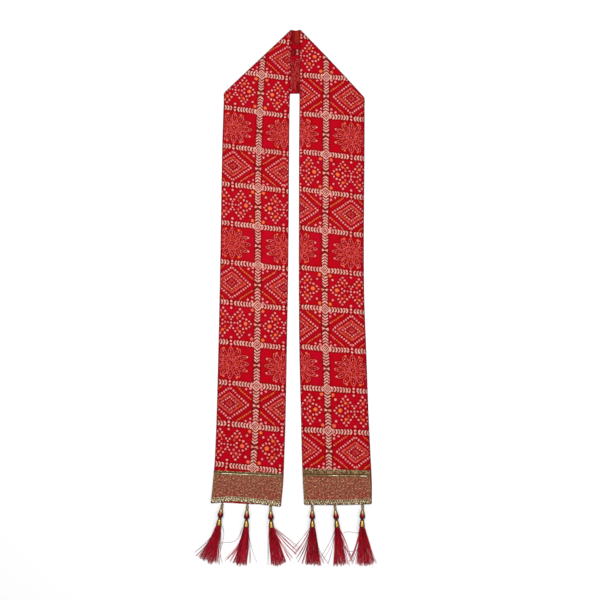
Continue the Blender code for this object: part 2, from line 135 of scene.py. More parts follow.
# Soft swells of the upper layer, as the part has them.
Swell = namedtuple("Swell", "x y across along height")
SWELLS = {
    "left": (
        Swell(-92.7, 300.0, 42.0, 70.0, 0.6),
        Swell(-36.7, 190.0, 36.0, 80.0, 0.7),
        Swell(-96.7, 60.0, 40.0, 85.0, 0.5),
        Swell(-44.7, -70.0, 44.0, 75.0, 0.7),
        Swell(-88.7, -215.0, 42.0, 65.0, 0.6),
    ),
    "right": (
        Swell(63.3, 320.0, 36.0, 60.0, 0.6),
        Swell(111.3, 215.0, 38.0, 75.0, 0.7),
        Swell(59.3, 80.0, 34.0, 80.0, 0.5),
        Swell(107.3, -60.0, 38.0, 85.0, 0.7),
        Swell(69.3, -200.0, 40.0, 70.0, 0.6),
    ),
}
SWELL_ENDS = (-330 * MM, -290 * MM)  # the swells and furrows fade out here, above the lace

# Soft furrows in the upper layer: middle, turn from the Y axis in degrees, half length, width, depth.
Furrow = namedtuple("Furrow", "x y turn half_length width depth")
FURROWS = {
    "left": (
        Furrow(-118.0, 352.0, -34.0, 46.0, 4.6, 0.45),
        Furrow(-70.0, 402.0, -47.0, 58.0, 6.0, 0.38),
        Furrow(-24.0, 446.0, -38.0, 40.0, 4.0, 0.50),
        Furrow(-14.0, 318.0, 6.0, 72.0, 5.2, 0.42),
        Furrow(-104.0, 205.0, -5.0, 88.0, 6.5, 0.50),
        Furrow(-58.0, 118.0, 11.0, 60.0, 4.4, 0.36),
        Furrow(-20.0, 20.0, -4.0, 95.0, 7.0, 0.52),
        Furrow(-116.0, -40.0, 7.0, 66.0, 4.8, 0.44),
        Furrow(-72.0, -152.0, -9.0, 78.0, 6.2, 0.40),
        Furrow(-22.0, -238.0, 5.0, 58.0, 4.2, 0.48),
        Furrow(-119.0, -262.0, -6.0, 44.0, 5.4, 0.36),
    ),
    "right": (
        Furrow(134.0, 338.0, 37.0, 50.0, 5.0, 0.44),
        Furrow(88.0, 398.0, 46.0, 52.0, 5.6, 0.40),
        Furrow(42.0, 442.0, 35.0, 42.0, 4.2, 0.48),
        Furrow(40.0, 300.0, -5.0, 80.0, 6.0, 0.46),
        Furrow(126.0, 240.0, 4.0, 62.0, 4.6, 0.40),
        Furrow(84.0, 140.0, -8.0, 84.0, 6.6, 0.46),
        Furrow(38.0, 48.0, 5.0, 58.0, 4.4, 0.38),
        Furrow(130.0, -22.0, -6.0, 90.0, 6.8, 0.50),
        Furrow(66.0, -104.0, 8.0, 62.0, 5.0, 0.42),
        Furrow(122.0, -196.0, -5.0, 70.0, 5.4, 0.44),
        Furrow(46.0, -262.0, 6.0, 48.0, 4.4, 0.38),
    ),
}
UNDER_FURROW_SHARE = 0.35  # how much of a furrow the lower layer shows, pressed up off the surface

# The print: squares between chevron lines, in three motifs that follow each other along the cloth.
CELL_WIDTH = 100.0
CELL_HEIGHT = 77.0
HALF_CELL = (CELL_WIDTH / 2, CELL_HEIGHT / 2)

# Where each cross line meets the long line, the long line's place there, and how much the cross
# line falls towards the right, from the top down.
Crossing = namedtuple("Crossing", "y x fall")
CROSSINGS = {
    "left": (
        Crossing(502.5, -50.5, 0.14),
        Crossing(426.0, -53.8, 0.14),
        Crossing(348.0, -57.2, 0.15),
        Crossing(269.5, -58.8, 0.13),
        Crossing(193.0, -59.4, 0.12),
        Crossing(114.5, -59.0, 0.12),
        Crossing(37.5, -58.5, 0.12),
        Crossing(-40.5, -58.5, 0.11),
        Crossing(-116.5, -58.5, 0.10),
        Crossing(-193.5, -59.5, 0.11),
        Crossing(-270.0, -60.5, 0.11),
        Crossing(-346.0, -64.2, 0.11),
        Crossing(-422.5, -65.0, 0.11),
    ),
    "right": (
        Crossing(504.0, 75.0, 0.08),
        Crossing(421.5, 75.4, 0.08),
        Crossing(340.5, 74.5, 0.10),
        Crossing(261.0, 74.0, 0.12),
        Crossing(183.5, 73.0, 0.14),
        Crossing(106.5, 71.5, 0.13),
        Crossing(28.5, 70.5, 0.11),
        Crossing(-47.0, 70.5, 0.09),
        Crossing(-123.5, 71.5, 0.08),
        Crossing(-200.0, 74.0, 0.06),
        Crossing(-278.0, 76.0, 0.05),
        Crossing(-352.0, 76.8, 0.05),
        Crossing(-427.0, 79.0, 0.05),
    ),
}
NECK_LINE_Y = 475.4  # the long line, where it runs across the neck
NECK_MARKER_X = 17.4  # a middle marker on it

# Tassels, with the part's sizes but for a slimmer cord eye and other fans of silk.
CORD_RADIUS = 0.85 * MM
LOOP_LENGTH = 10.6 * MM
LOOP_HALF_WIDTH = 1.5 * MM
BEAD_RADIUS = 5.3 * MM
BEAD_HALF_LENGTH = 5.5 * MM
BEAD_REACH = 5.8 * MM  # half the length of the round that its ends are cut from
TIP_LENGTH = 7.6 * MM
TIP_RIM_RADIUS = 4.2 * MM
BELL_LENGTH = 12.6 * MM
BELL_MOUTH_RADIUS = 4.8 * MM
BELL_WALL = 0.6 * MM
STRAND_LENGTH = 72 * MM
STRAND_LEAN = 0.72

Tassel = namedtuple("Tassel", "across swing fan_left fan_right")
TASSELS = {
    "left": (
        Tassel(0.168, -9.0, -38.5, -2.0),
        Tassel(0.522, -2.5, -25.0, 2.0),
        Tassel(0.850, 2.5, 0.5, 30.0),
    ),
    "right": (
        Tassel(0.119, 0.4, -15.0, 16.5),
        Tassel(0.452, 5.5, -7.5, 17.5),
        Tassel(0.865, -3.0, -9.5, 25.0),
    ),
}

BORDER_WALL = 1.1 * MM
BORDER_HEIGHT = 59 * MM
LOWER_BRAID_WIDTH = 9.5 * MM
LACE_GRID = 0.85 * MM
LACE_COLUMN = 7.6  # width of the lace's herringbone columns
LACE_STITCH = 4.6  # height of one of its stitches
LACE_LEAN = 0.9  # how far the stitches rise across half a column, in stitches
LACE_MARGIN = 6.0  # width of the olive edge down each side of the lace
LACE_STRIPE = 74.0  # place of the faint stripe up the lace
# The lace's upper edging: how far below the lace's upper edge its loops, its cords and its ribbon run.
Edging = namedtuple("Edging", "loops cords ribbon")
EDGINGS = {"left": Edging((2.7,), (2.9, 6.0), 4.7), "right": Edging((2.9, 0.4, -0.7), (5.2, 9.0), 7.4)}
RIBBON_DULL = {"left": 0.5, "right": 0.42}  # the ribbon's brightness out of the light
# Where the ribbon catches the light, as shares of its length, and how much brighter it is there.
Shine = namedtuple("Shine", "start end gain")
RIBBON_SHINE = {
    "left": (Shine(0.1, 0.56, 0.22), Shine(0.1, 0.27, 0.2), Shine(0.42, 0.5, 0.2), Shine(0.62, 0.84, 0.2)),
    "right": (Shine(0.38, 0.8, 0.16), Shine(0.43, 0.52, 0.4), Shine(0.84, 0.96, 0.58)),
}
Cord = namedtuple("Cord", "radius tint twist")
EDGING_CORDS = (Cord(0.62, 0.05, 0.5), Cord(0.45, 0.3, 0.7))
EDGING_LOOPS = 44
PLY_STEPS = 260
RIBBON_STEPS = 200
PLAIT_STEPS = 300
PLAIT_TURNS = 9.5
PLAIT_LIGHT = {"left": 0.2, "right": 0.12}
# The flecks are painted glints.
SPARKS = {"left": 17, "right": 11}  # bright flecks along the plait

SILK_LOCKS = 11
LOCK_THREADS = 24
SILK_STATIONS = 20
HAIR_STEPS = 25

# Loose wisps of each tassel: where they end across and down from the bell's mouth, in millimetres, how far
# they bow, how late they turn aside, and how many hairs they have.
Wisp = namedtuple("Wisp", "reach down bow turn hairs")
WISPS = {
    "left": (
        (Wisp(-44.0, 51.0, 0.0, 1.7, 2), Wisp(-41.0, 59.0, 0.0, 1.5, 3), Wisp(1.0, 73.0, 2.0, 1.0, 3)),
        (Wisp(-33.0, 60.0, 3.0, 1.5, 4), Wisp(-38.0, 62.0, 4.0, 1.5, 3), Wisp(-28.0, 64.0, 1.0, 1.4, 4),
         Wisp(19.0, 66.0, -1.0, 1.3, 2), Wisp(8.0, 69.0, 1.0, 1.0, 3)),
        (Wisp(47.0, 43.0, 1.0, 1.2, 4), Wisp(45.0, 50.0, -2.0, 1.2, 5), Wisp(40.0, 57.0, -1.0, 1.2, 3),
         Wisp(52.0, 40.0, 3.0, 1.1, 2), Wisp(-4.5, 72.0, -1.0, 1.2, 2), Wisp(36.0, 62.0, 1.0, 1.3, 4)),
    ),
    "right": (
        (Wisp(-36.0, 42.0, -1.0, 1.2, 2), Wisp(-34.0, 52.0, 1.0, 1.2, 4), Wisp(-31.0, 58.0, 2.0, 1.3, 3),
         Wisp(-26.0, 64.0, 2.0, 1.3, 3), Wisp(-19.5, 70.0, 1.0, 1.2, 5), Wisp(20.0, 66.0, -3.0, 1.3, 3),
         Wisp(29.0, 66.0, -4.0, 1.5, 2)),
        (Wisp(-31.0, 57.0, 1.0, 1.4, 2), Wisp(-17.0, 70.0, 0.0, 1.6, 2), Wisp(-27.0, 64.0, 2.0, 1.5, 1),
         Wisp(28.0, 64.0, -1.0, 1.3, 4), Wisp(24.0, 58.0, 2.0, 1.2, 4), Wisp(33.0, 62.0, -3.0, 1.6, 2),
         Wisp(21.5, 73.0, 0.0, 1.2, 5)),
        (Wisp(-23.0, 65.0, 1.0, 1.3, 7), Wisp(-18.0, 69.0, 2.0, 1.2, 3), Wisp(-13.0, 70.0, 1.0, 1.2, 4),
         Wisp(26.0, 68.0, -1.0, 1.3, 3), Wisp(20.0, 80.0, 0.0, 1.2, 1)),
    ),
}
# Single long hairs: places across and down from the bell's mouth, in millimetres.
HAIRS = {
    ("left", 1): (((3.0, 0.0), (7.5, 4.4), (9.3, 18.0), (6.8, 33.0), (3.1, 50.0), (7.5, 69.0)),),
    ("left", 2): (
        ((-3.5, 0.0), (-7.8, 4.0), (-11.6, 14.0), (-16.5, 22.4), (-25.0, 27.4), (-39.0, 28.6), (-51.0, 31.0)),
    ),
    ("right", 3): (
        ((-3.0, 0.0), (-4.6, 8.0), (-7.5, 12.2), (-12.0, 11.8), (-23.0, 10.0), (-34.2, 11.8)),
        ((-3.5, 0.0), (-6.2, 13.0), (-5.2, 21.8), (-5.6, 30.5), (-7.5, 39.2), (-13.0, 44.2), (-21.8, 44.8),
         (-29.2, 43.5)),
    ),
}
NECK_PLEAT_X = 7.9  # where the tuck runs down the neck
NECK_SHADE = 0.18  # the least share of the side shadow that the neck's upper face has


def mix(a, b, t):
    return a + (b - a) * t


def smooth(t):
    t = min(max(t, 0.0), 1.0)
    return t * t * (3 - 2 * t)


def arch(t):
    """Rises from 0 to 1 as a quarter circle, as t goes from 0 to 1."""
    t = min(max(t, 0.0), 1.0)
    return math.sqrt(1 - (1 - t) ** 2)


def along_table(rows, key, column, at):
    """The table's column at a place, on a smooth curve through its rows."""
    keys = [getattr(row, key) for row in rows]
    values = [getattr(row, column) for row in rows]
    if at <= keys[0] or len(keys) < 2:
        return values[0]
    if at >= keys[-1]:
        return values[-1]
    i = max(k for k in range(len(keys) - 1) if keys[k] <= at)

    def slope(k):
        before, after = max(k - 1, 0), min(k + 1, len(keys) - 1)
        return (values[after] - values[before]) / (keys[after] - keys[before])

    step = keys[i + 1] - keys[i]
    t = (at - keys[i]) / step
    start = (1 + 2 * t) * (1 - t) ** 2 * values[i] + t * (1 - t) ** 2 * step * slope(i)
    end = t * t * (3 - 2 * t) * values[i + 1] - t * t * (1 - t) * step * slope(i + 1)
    return start + end


def straight_table(rows, at):
    """The height of a chain of corners at a place across, in millimetres."""
    for a, b in zip(rows, rows[1:]):
        if at <= b.x:
            return mix(a.y, b.y, max(at - a.x, 0.0) / (b.x - a.x))
    return rows[-1].y


def band_edges(side, y):
    """Where a leg's left and right edge are at a height."""
    left = along_table(LEG_EDGES[side], "y", "left", y / MM)
    right = along_table(LEG_EDGES[side], "y", "right", y / MM)
    return left * MM, right * MM


def band_x(side, across, y):
    return mix(*band_edges(side, y), across)


def hem_y(side, across, column):
    return along_table(HEMS[side], "across", column, across) * MM


def crease_y(side, across):
    crease = CREASES[side]
    return (mix(crease.left, crease.right, across) + 4 * crease.bow * across * (1 - across)) * MM


def crease_slope(side):
    """How much longer a distance square to the fold is when it is measured along Y."""
    rise = (CREASES[side].right - CREASES[side].left) * MM
    run = band_x(side, 1, TOP_Y) - band_x(side, 0, TOP_Y)
    return math.hypot(run, rise) / run


def climb_end(x):
    return straight_table(NECK_LOWER, x / MM) * MM - RAMP_CLEAR


def lift_at(x, y):
    return LIFT * smooth((y - climb_end(x) + RAMP_LENGTH) / RAMP_LENGTH)


def above_lace(y):
    """0 on the lace and 1 well above it."""
    return smooth((y - SWELL_ENDS[0]) / (SWELL_ENDS[1] - SWELL_ENDS[0]))


def swell_at(side, x, y):
    total = 0.0
    for s in SWELLS[side]:
        away = ((x / MM - s.x) / s.across) ** 2 + ((y / MM - s.y) / s.along) ** 2
        total += s.height * MM * math.exp(-away)
    return total * above_lace(y)


def furrow_at(side, x, y):
    """Soft troughs, each with a low ridge along one flank."""
    total = 0.0
    for f in FURROWS[side]:
        dx, dy = x / MM - f.x, y / MM - f.y
        turn = math.radians(f.turn)
        along = dx * math.sin(turn) + dy * math.cos(turn)
        if abs(along) > f.half_length:
            continue
        across = dx * math.cos(turn) - dy * math.sin(turn)
        across += 2.5 * math.sin(along / 19.0 + f.x)
        fade = math.cos(math.pi / 2 * along / f.half_length) ** 2
        trough = math.exp(-((across / f.width) ** 2))
        ridge = math.exp(-(((across - 1.9 * f.width) / (1.4 * f.width)) ** 2))
        total += f.depth * MM * fade * (0.6 * ridge - trough)
    return total * above_lace(y)


def ripple_at(x, y):
    """Fine unevenness of a soft, once folded cloth."""
    a = math.sin(x / MM / 17.0 + 1.3 * math.sin(y / MM / 43.0))
    b = math.sin(y / MM / 29.0 + 1.7 * math.sin(x / MM / 23.0))
    c = math.sin((x + y) / MM / 9.0 + 2.1 * math.sin(y / MM / 31.0))
    return (0.07 * a * b + 0.025 * c) * MM * above_lace(y)


def srgb(red, green, blue):
    """A colour from its screen values, 0 to 255."""
    shares = [value / 255 for value in (red, green, blue)]
    return tuple(s / 12.92 if s <= 0.04045 else ((s + 0.055) / 1.055) ** 2.4 for s in shares)


# Materials


class Field:
    """A number that varies over a surface, worked out by shader nodes."""

    def __init__(self, tree, socket):
        self.tree = tree
        self.socket = socket

    def math(self, operation, *others):
        node = self.tree.nodes.new("ShaderNodeMath")
        node.operation = operation
        for place, item in zip(node.inputs, (self, *others)):
            feed(self.tree, item, place)
        return Field(self.tree, node.outputs[0])

    def __add__(self, other):
        return self.math("ADD", other)

    def __sub__(self, other):
        return self.math("SUBTRACT", other)

    def __mul__(self, other):
        return self.math("MULTIPLY", other)

    def __truediv__(self, other):
        return self.math("DIVIDE", other)

    def __abs__(self):
        return self.math("ABSOLUTE")

    def limited(self, low, high):
        return self.math("MAXIMUM", low).math("MINIMUM", high)

    def repeated(self, pitch):
        """The distance from the nearest of evenly spaced places, one of them at pitch / 2."""
        return abs(self.math("FLOORED_MODULO", pitch) - pitch / 2)

    def from_middle(self):
        """The distance from the middle of the cell that a place is in, where cells are 1 long."""
        return abs(self.math("FRACT") - 0.5)

    def ramp(self, start, end):
        """0 at start and 1 at end, with a soft curve between."""
        node = new_node(self.tree, "ShaderNodeMapRange", Value=self, From_Min=start, From_Max=end)
        node.interpolation_type = "SMOOTHSTEP"
        return Field(self.tree, node.outputs["Result"])


def feed(tree, item, place):
    """Puts a field, a socket or a plain value on a node's input."""
    if isinstance(item, Field):
        tree.links.new(item.socket, place)
    elif isinstance(item, bpy.types.NodeSocket):
        tree.links.new(item, place)
    else:
        place.default_value = item


def new_node(tree, kind, **inputs):
    node = tree.nodes.new(kind)
    for name, item in inputs.items():
        feed(tree, item, node.inputs[name.replace("_", " ")])
    return node


def least(*fields):
    return reduce(lambda a, b: a.math("MINIMUM", b), fields)


def most(*fields):
    return reduce(lambda a, b: a.math("MAXIMUM", b), fields)


def mix_field(share, under, over):
    """The number under where share is 0, and the number over where it is 1."""
    return share * (over - under) + under


def length_of(a, b):
    return (a * a + b * b).math("SQRT")


class Paint:
    """A material's node tree, with short calls for the nodes that it is made of."""

    def __init__(self, name):
        self.material = bpy.data.materials.new(name)
        self.material.use_nodes = True
        self.tree = self.material.node_tree
        self.shader = self.tree.nodes["Principled BSDF"]

    def node(self, kind, **inputs):
        return new_node(self.tree, kind, **inputs)

    def set(self, **values):
        """Values that are the same all over the surface."""
        for name, value in values.items():
            self.shader.inputs[name.replace("_", " ")].default_value = value

    def link(self, name, item):
        feed(self.tree, item, self.shader.inputs[name])

    def map_place(self, name):
        """(x, y) of a named map."""
        node = self.node("ShaderNodeUVMap")
        node.uv_map = name
        return self.parts(node.outputs["UV"])[:2]

    def parts(self, vector):
        node = self.node("ShaderNodeSeparateXYZ", Vector=vector)
        return [Field(self.tree, socket) for socket in node.outputs]

    def vector(self, x, y, z=0.0):
        return self.node("ShaderNodeCombineXYZ", X=x, Y=y, Z=z).outputs[0]

    def object_place(self):
        return self.node("ShaderNodeTexCoord").outputs["Object"]

    def mark(self, name):
        """A number kept on the mesh's points."""
        node = self.node("ShaderNodeAttribute")
        node.attribute_name = name
        return Field(self.tree, node.outputs["Fac"])

    def noise(self, place, scale, detail=2.0, roughness=0.5):
        noise = {"Vector": place, "Scale": scale, "Detail": detail, "Roughness": roughness}
        return Field(self.tree, self.node("ShaderNodeTexNoise", **noise).outputs["Fac"])

    def wobble(self, place, scale, detail=1.0):
        """Three noises about 0, as (x, y, z)."""
        node = self.node("ShaderNodeTexNoise", Vector=place, Scale=scale, Detail=detail)
        return [part - 0.5 for part in self.parts(node.outputs["Color"])]

    def colour(self, value):
        node = self.node("ShaderNodeRGB")
        node.outputs[0].default_value = (*value, 1.0)
        return node.outputs[0]

    def blend(self, share, under, over):
        """The colour under, covered by the colour over where share is 1."""
        node = self.node("ShaderNodeMix", Factor=share)
        node.data_type = "RGBA"
        node.clamp_factor = True
        for name, item in (("A", under), ("B", over)):
            place = next(s for s in node.inputs if s.name == name and s.type == "RGBA")
            feed(self.tree, (*item, 1.0) if isinstance(item, tuple) else item, place)
        return next(s for s in node.outputs if s.type == "RGBA")

    def bump(self, height, distance, strength=1.0):
        node = self.node("ShaderNodeBump", Height=height, Distance=distance, Strength=strength)
        self.link("Normal", node.outputs["Normal"])


CRIMSON = srgb(176, 0, 18)
CRIMSON_COOL = srgb(181, 0, 40)
CRIMSON_DEEP = srgb(148, 0, 8)
MAROON = srgb(92, 0, 4)
SIDE_SHADOW = srgb(80, 0, 18)
PINK = srgb(228, 118, 118)
PINK_PALE = srgb(238, 158, 142)
ROSE = srgb(216, 88, 108)
CREAM = srgb(238, 180, 168)
CREAM_DULL = srgb(220, 137, 126)
ORANGE = srgb(212, 80, 30)
ORANGE_PALE = srgb(232, 122, 60)
CORAL = srgb(204, 50, 48)
CORAL_PALE = srgb(230, 92, 92)
OLIVE = srgb(112, 45, 32)
OLIVE_DARK = srgb(88, 18, 16)
SILK_GLOSS = (*srgb(255, 70, 70), 1.0)  # the silk throws back a red light
LACE_GOLD = srgb(144, 100, 56)
LACE_ROSE = srgb(166, 54, 48)
LACE_RED = srgb(160, 30, 28)
LACE_OLIVE = srgb(128, 94, 54)
LACE_DEEP = srgb(84, 24, 14)
LACE_GLINT = srgb(204, 146, 108)
METAL_LIGHT = srgb(174, 130, 62)
# Painted shade low on the caps' sides, and worn patches.
METAL_SHADE_AND_WEAR = srgb(140, 100, 26)
METAL_BEIGE = srgb(172, 134, 84)
# Painted shade on the bell's narrow top.
METAL_TOP_SHADE = srgb(104, 64, 24)
BEAD_RED = srgb(98, 0, 5)
# Painted shade, low on the bead's sides.
BEAD_SHADE = srgb(34, 0, 3)
# Painted highlight, near the bead's top.
BEAD_HIGHLIGHT = srgb(228, 96, 84)
BRAID_STOPS = (
    (0.0, srgb(40, 22, 10)),
    (0.3, srgb(116, 88, 50)),
    (0.6, srgb(182, 154, 106)),
    (0.95, srgb(255, 248, 226)),
)
CORD_STOPS = ((0.0, srgb(44, 30, 12)), (0.4, srgb(116, 92, 46)), (0.9, srgb(206, 178, 122)))
SILK_STOPS = (
    (0.0, srgb(78, 0, 10)),
    (0.4, srgb(148, 0, 20)),
    (0.9, srgb(208, 18, 48)),
    (1.35, srgb(176, 60, 86)),
    (1.9, srgb(122, 96, 106)),
)


def spot(paint, place, x, y, radius):
    """Distance to the rim of a round dot."""
    node = paint.node("ShaderNodeVectorMath")
    node.operation = "DISTANCE"
    feed(paint.tree, place, node.inputs[0])
    node.inputs[1].default_value = (x, y, 0.0)
    return Field(paint.tree, node.outputs["Value"]) - radius


def stroke(x, y, start, end, half_width):
    """Distance to the rim of a round-ended stroke along x."""
    return length_of(x - x.limited(start, end), y) - half_width


def turned_fold(x, y, sectors):
    """A place folded into one of several equal sectors round the origin, as (outward, sideways)."""
    radius = length_of(x, y)
    sector = math.tau / sectors
    angle = y.math("ARCTAN2", x)
    folded = (angle + sector * 100.5).repeated(sector)
    return radius * folded.math("COSINE"), radius * folded.math("SINE")


def slanted(x, y, reach_x, reach_y):
    """(distance across, distance along) a slanting line that meets the axes at two reaches."""
    size = math.hypot(1 / reach_x, 1 / reach_y)
    nx, ny = 1 / reach_x / size, 1 / reach_y / size
    across = x * nx + y * ny - 1 / size
    return across, x * ny - y * nx


def star_motif(paint, place):
    """Distances to the dots of the star square, for each colour."""
    pink_dots = (
        (0.0, 0.0, 2.0), (0.0, 5.9, 1.9), (6.2, 0.0, 1.8), (12.2, 0.4, 1.7), (0.0, 28.5, 2.3),
        (3.4, 10.2, 1.9), (7.6, 15.8, 2.1), (12.0, 21.4, 2.1), (16.0, 27.0, 2.2),
        (20.8, 22.4, 2.0), (24.2, 16.8, 1.8), (22.2, 10.1, 2.0), (28.6, 9.0, 2.2),
        (34.3, 5.2, 2.0), (37.8, 0.0, 1.9), (16.9, 4.0, 2.1), (34.8, 20.2, 2.3),
    )
    orange_dots = ((27.0, 0.0, 4.1), (39.5, 28.3, 3.4), (16.4, 15.2, 2.9), (44.0, 1.5, 1.2))
    coral_dots = ((11.6, 8.8, 2.3), (12.2, 13.0, 1.2), (19.0, 19.2, 1.3), (44.5, 12.0, 1.2))
    groups = (pink_dots, orange_dots, coral_dots)
    return tuple(least(*(spot(paint, place, *dot) for dot in dots)) for dots in groups)


def petal_rim(out, side, centre, half_length, half_width):
    """Distance to the rim of a pointed petal that lies along the outward axis."""
    radius = (half_length**2 + half_width**2) / (2 * half_width)
    return length_of(out - centre, side + (radius - half_width)) - radius


def mandala_motif(paint, x, y, place):
    """Distances to a flower of twelve drawn petals round rays and a small heart, for each colour."""
    out, side = turned_fold(x / 35.5, y / 30.0, 12)
    out, side = out * 33.0, side * 33.0
    turn = math.pi / 12
    between_out = out * math.cos(turn) + side * math.sin(turn)
    between_side = abs(side * math.cos(turn) - out * math.sin(turn))
    gaps = (out + side * 0.6 + 0.4).repeated(4.1) * -1.0 + 0.4
    rim = petal_rim(out, side, 23.0, 10.0, 4.4)
    coral = least(
        most(abs(rim) - 0.9, gaps),
        stroke(out, side, 4.8, 9.4, 0.8),
        stroke(out, side, 19.5, 22.5, 0.7),
        stroke(between_out, between_side, 8.6, 14.0, 0.75),
        spot(paint, place, 0.0, 0.0, 1.7),
        spot(paint, place, 0.0, 32.8, 1.3),
    )
    pink = least(stroke(out, side, 25.8, 27.6, 0.8), spot(paint, place, 31.5, 13.2, 1.9))
    return pink, spot(paint, place, 12.6, 27.0, 2.3), coral


def diamond_motif(paint, x, y, place):
    """Distances to nested diamonds and the corner dashes round them, for each colour."""
    wide, high = HALF_CELL
    across, along = slanted(x, y, 0.71 * wide, 0.765 * high)
    outer = (length_of((along + 2.6).repeated(5.3) / 1.8, across / 2.15) - 1.0) * 1.8
    across, along = slanted(x, y, 0.525 * wide, 0.507 * high)
    band = length_of((along + 2.1).repeated(4.2) * 0.5, across) - 1.25
    faint_band = most(abs(across + 3.0) - 1.1, 0.1)
    across, along = slanted(x, y, 0.31 * wide, 0.305 * high)
    inner = length_of((along - 0.2).repeated(4.86) * 0.9, across) - 1.5
    across, _ = slanted(x, y, 0.12 * wide, 0.125 * high)
    heart = least(most(abs(across) - 0.8, -0.05), most(across, 0.2))
    across, along = slanted(x, y, 1.1 * wide, 1.1 * high)
    corner = length_of((along + 1.0).repeated(4.6) * 0.8, across * 0.85) - 1.55
    corner = most(corner, abs(x - 0.56 * wide) - 0.27 * wide)
    pink = [outer, inner]
    for a, b, radius in ((0.63, 0.77, 2.2), (0.79, 0.83, 2.4), (0.8, 0.64, 2.2)):
        pink.append(spot(paint, place, a * wide, b * high, radius))
    return least(*pink), least(corner, faint_band), least(band, heart, spot(paint, place, 0.0, 32.6, 1.3))


def lattice(x_gap, y_gap):
    """Distances to the chevron lines: pale marks, and the brown ground between them."""
    rhombus = x_gap + y_gap
    clear = rhombus * -1.0 + 11.4
    rise = (y_gap + x_gap * 0.75 - 12.6) / 5.55
    leaf = rise.repeated(1.0) - 0.27 + x_gap * 0.01
    upright = most(leaf * 5.0, x_gap - 5.3, x_gap * -1.0 + 0.2, (rise - 4.0) * 5.0, clear)
    run = (x_gap + y_gap * y_gap * 0.1 - 13.0) / 5.5
    bar = run.repeated(1.0) - 0.25
    level = most(bar * 5.0, y_gap - 4.6, y_gap * -1.0 + 0.2, (run - 6.0) * 5.0, clear)
    ring = abs(rhombus - 9.4) * 0.7 - 0.92
    inner_ring = abs(rhombus - 4.7) * 0.7 - 0.75
    bow = most(abs(y_gap - HALF_CELL[1]) - x_gap * 0.45 - 0.2, x_gap - 5.5)
    level_dots = length_of((x_gap - HALF_CELL[0]) * 0.8, y_gap - 2.9) - 1.7
    core = rhombus - 1.4
    pale = least(upright, level, ring, inner_ring, core, bow, level_dots)
    strip = least(x_gap - 6.0, most(y_gap - 5.0, x_gap - 46.5), rhombus - 11.2)
    upright_ground = most(x_gap - 4.6, (rise - 4.6) * 5.0)
    level_ground = most(y_gap - 2.0, (run - 5.9) * 5.0)
    brown = least(upright_ground, level_ground, rhombus - 10.0)
    return pale, strip, brown


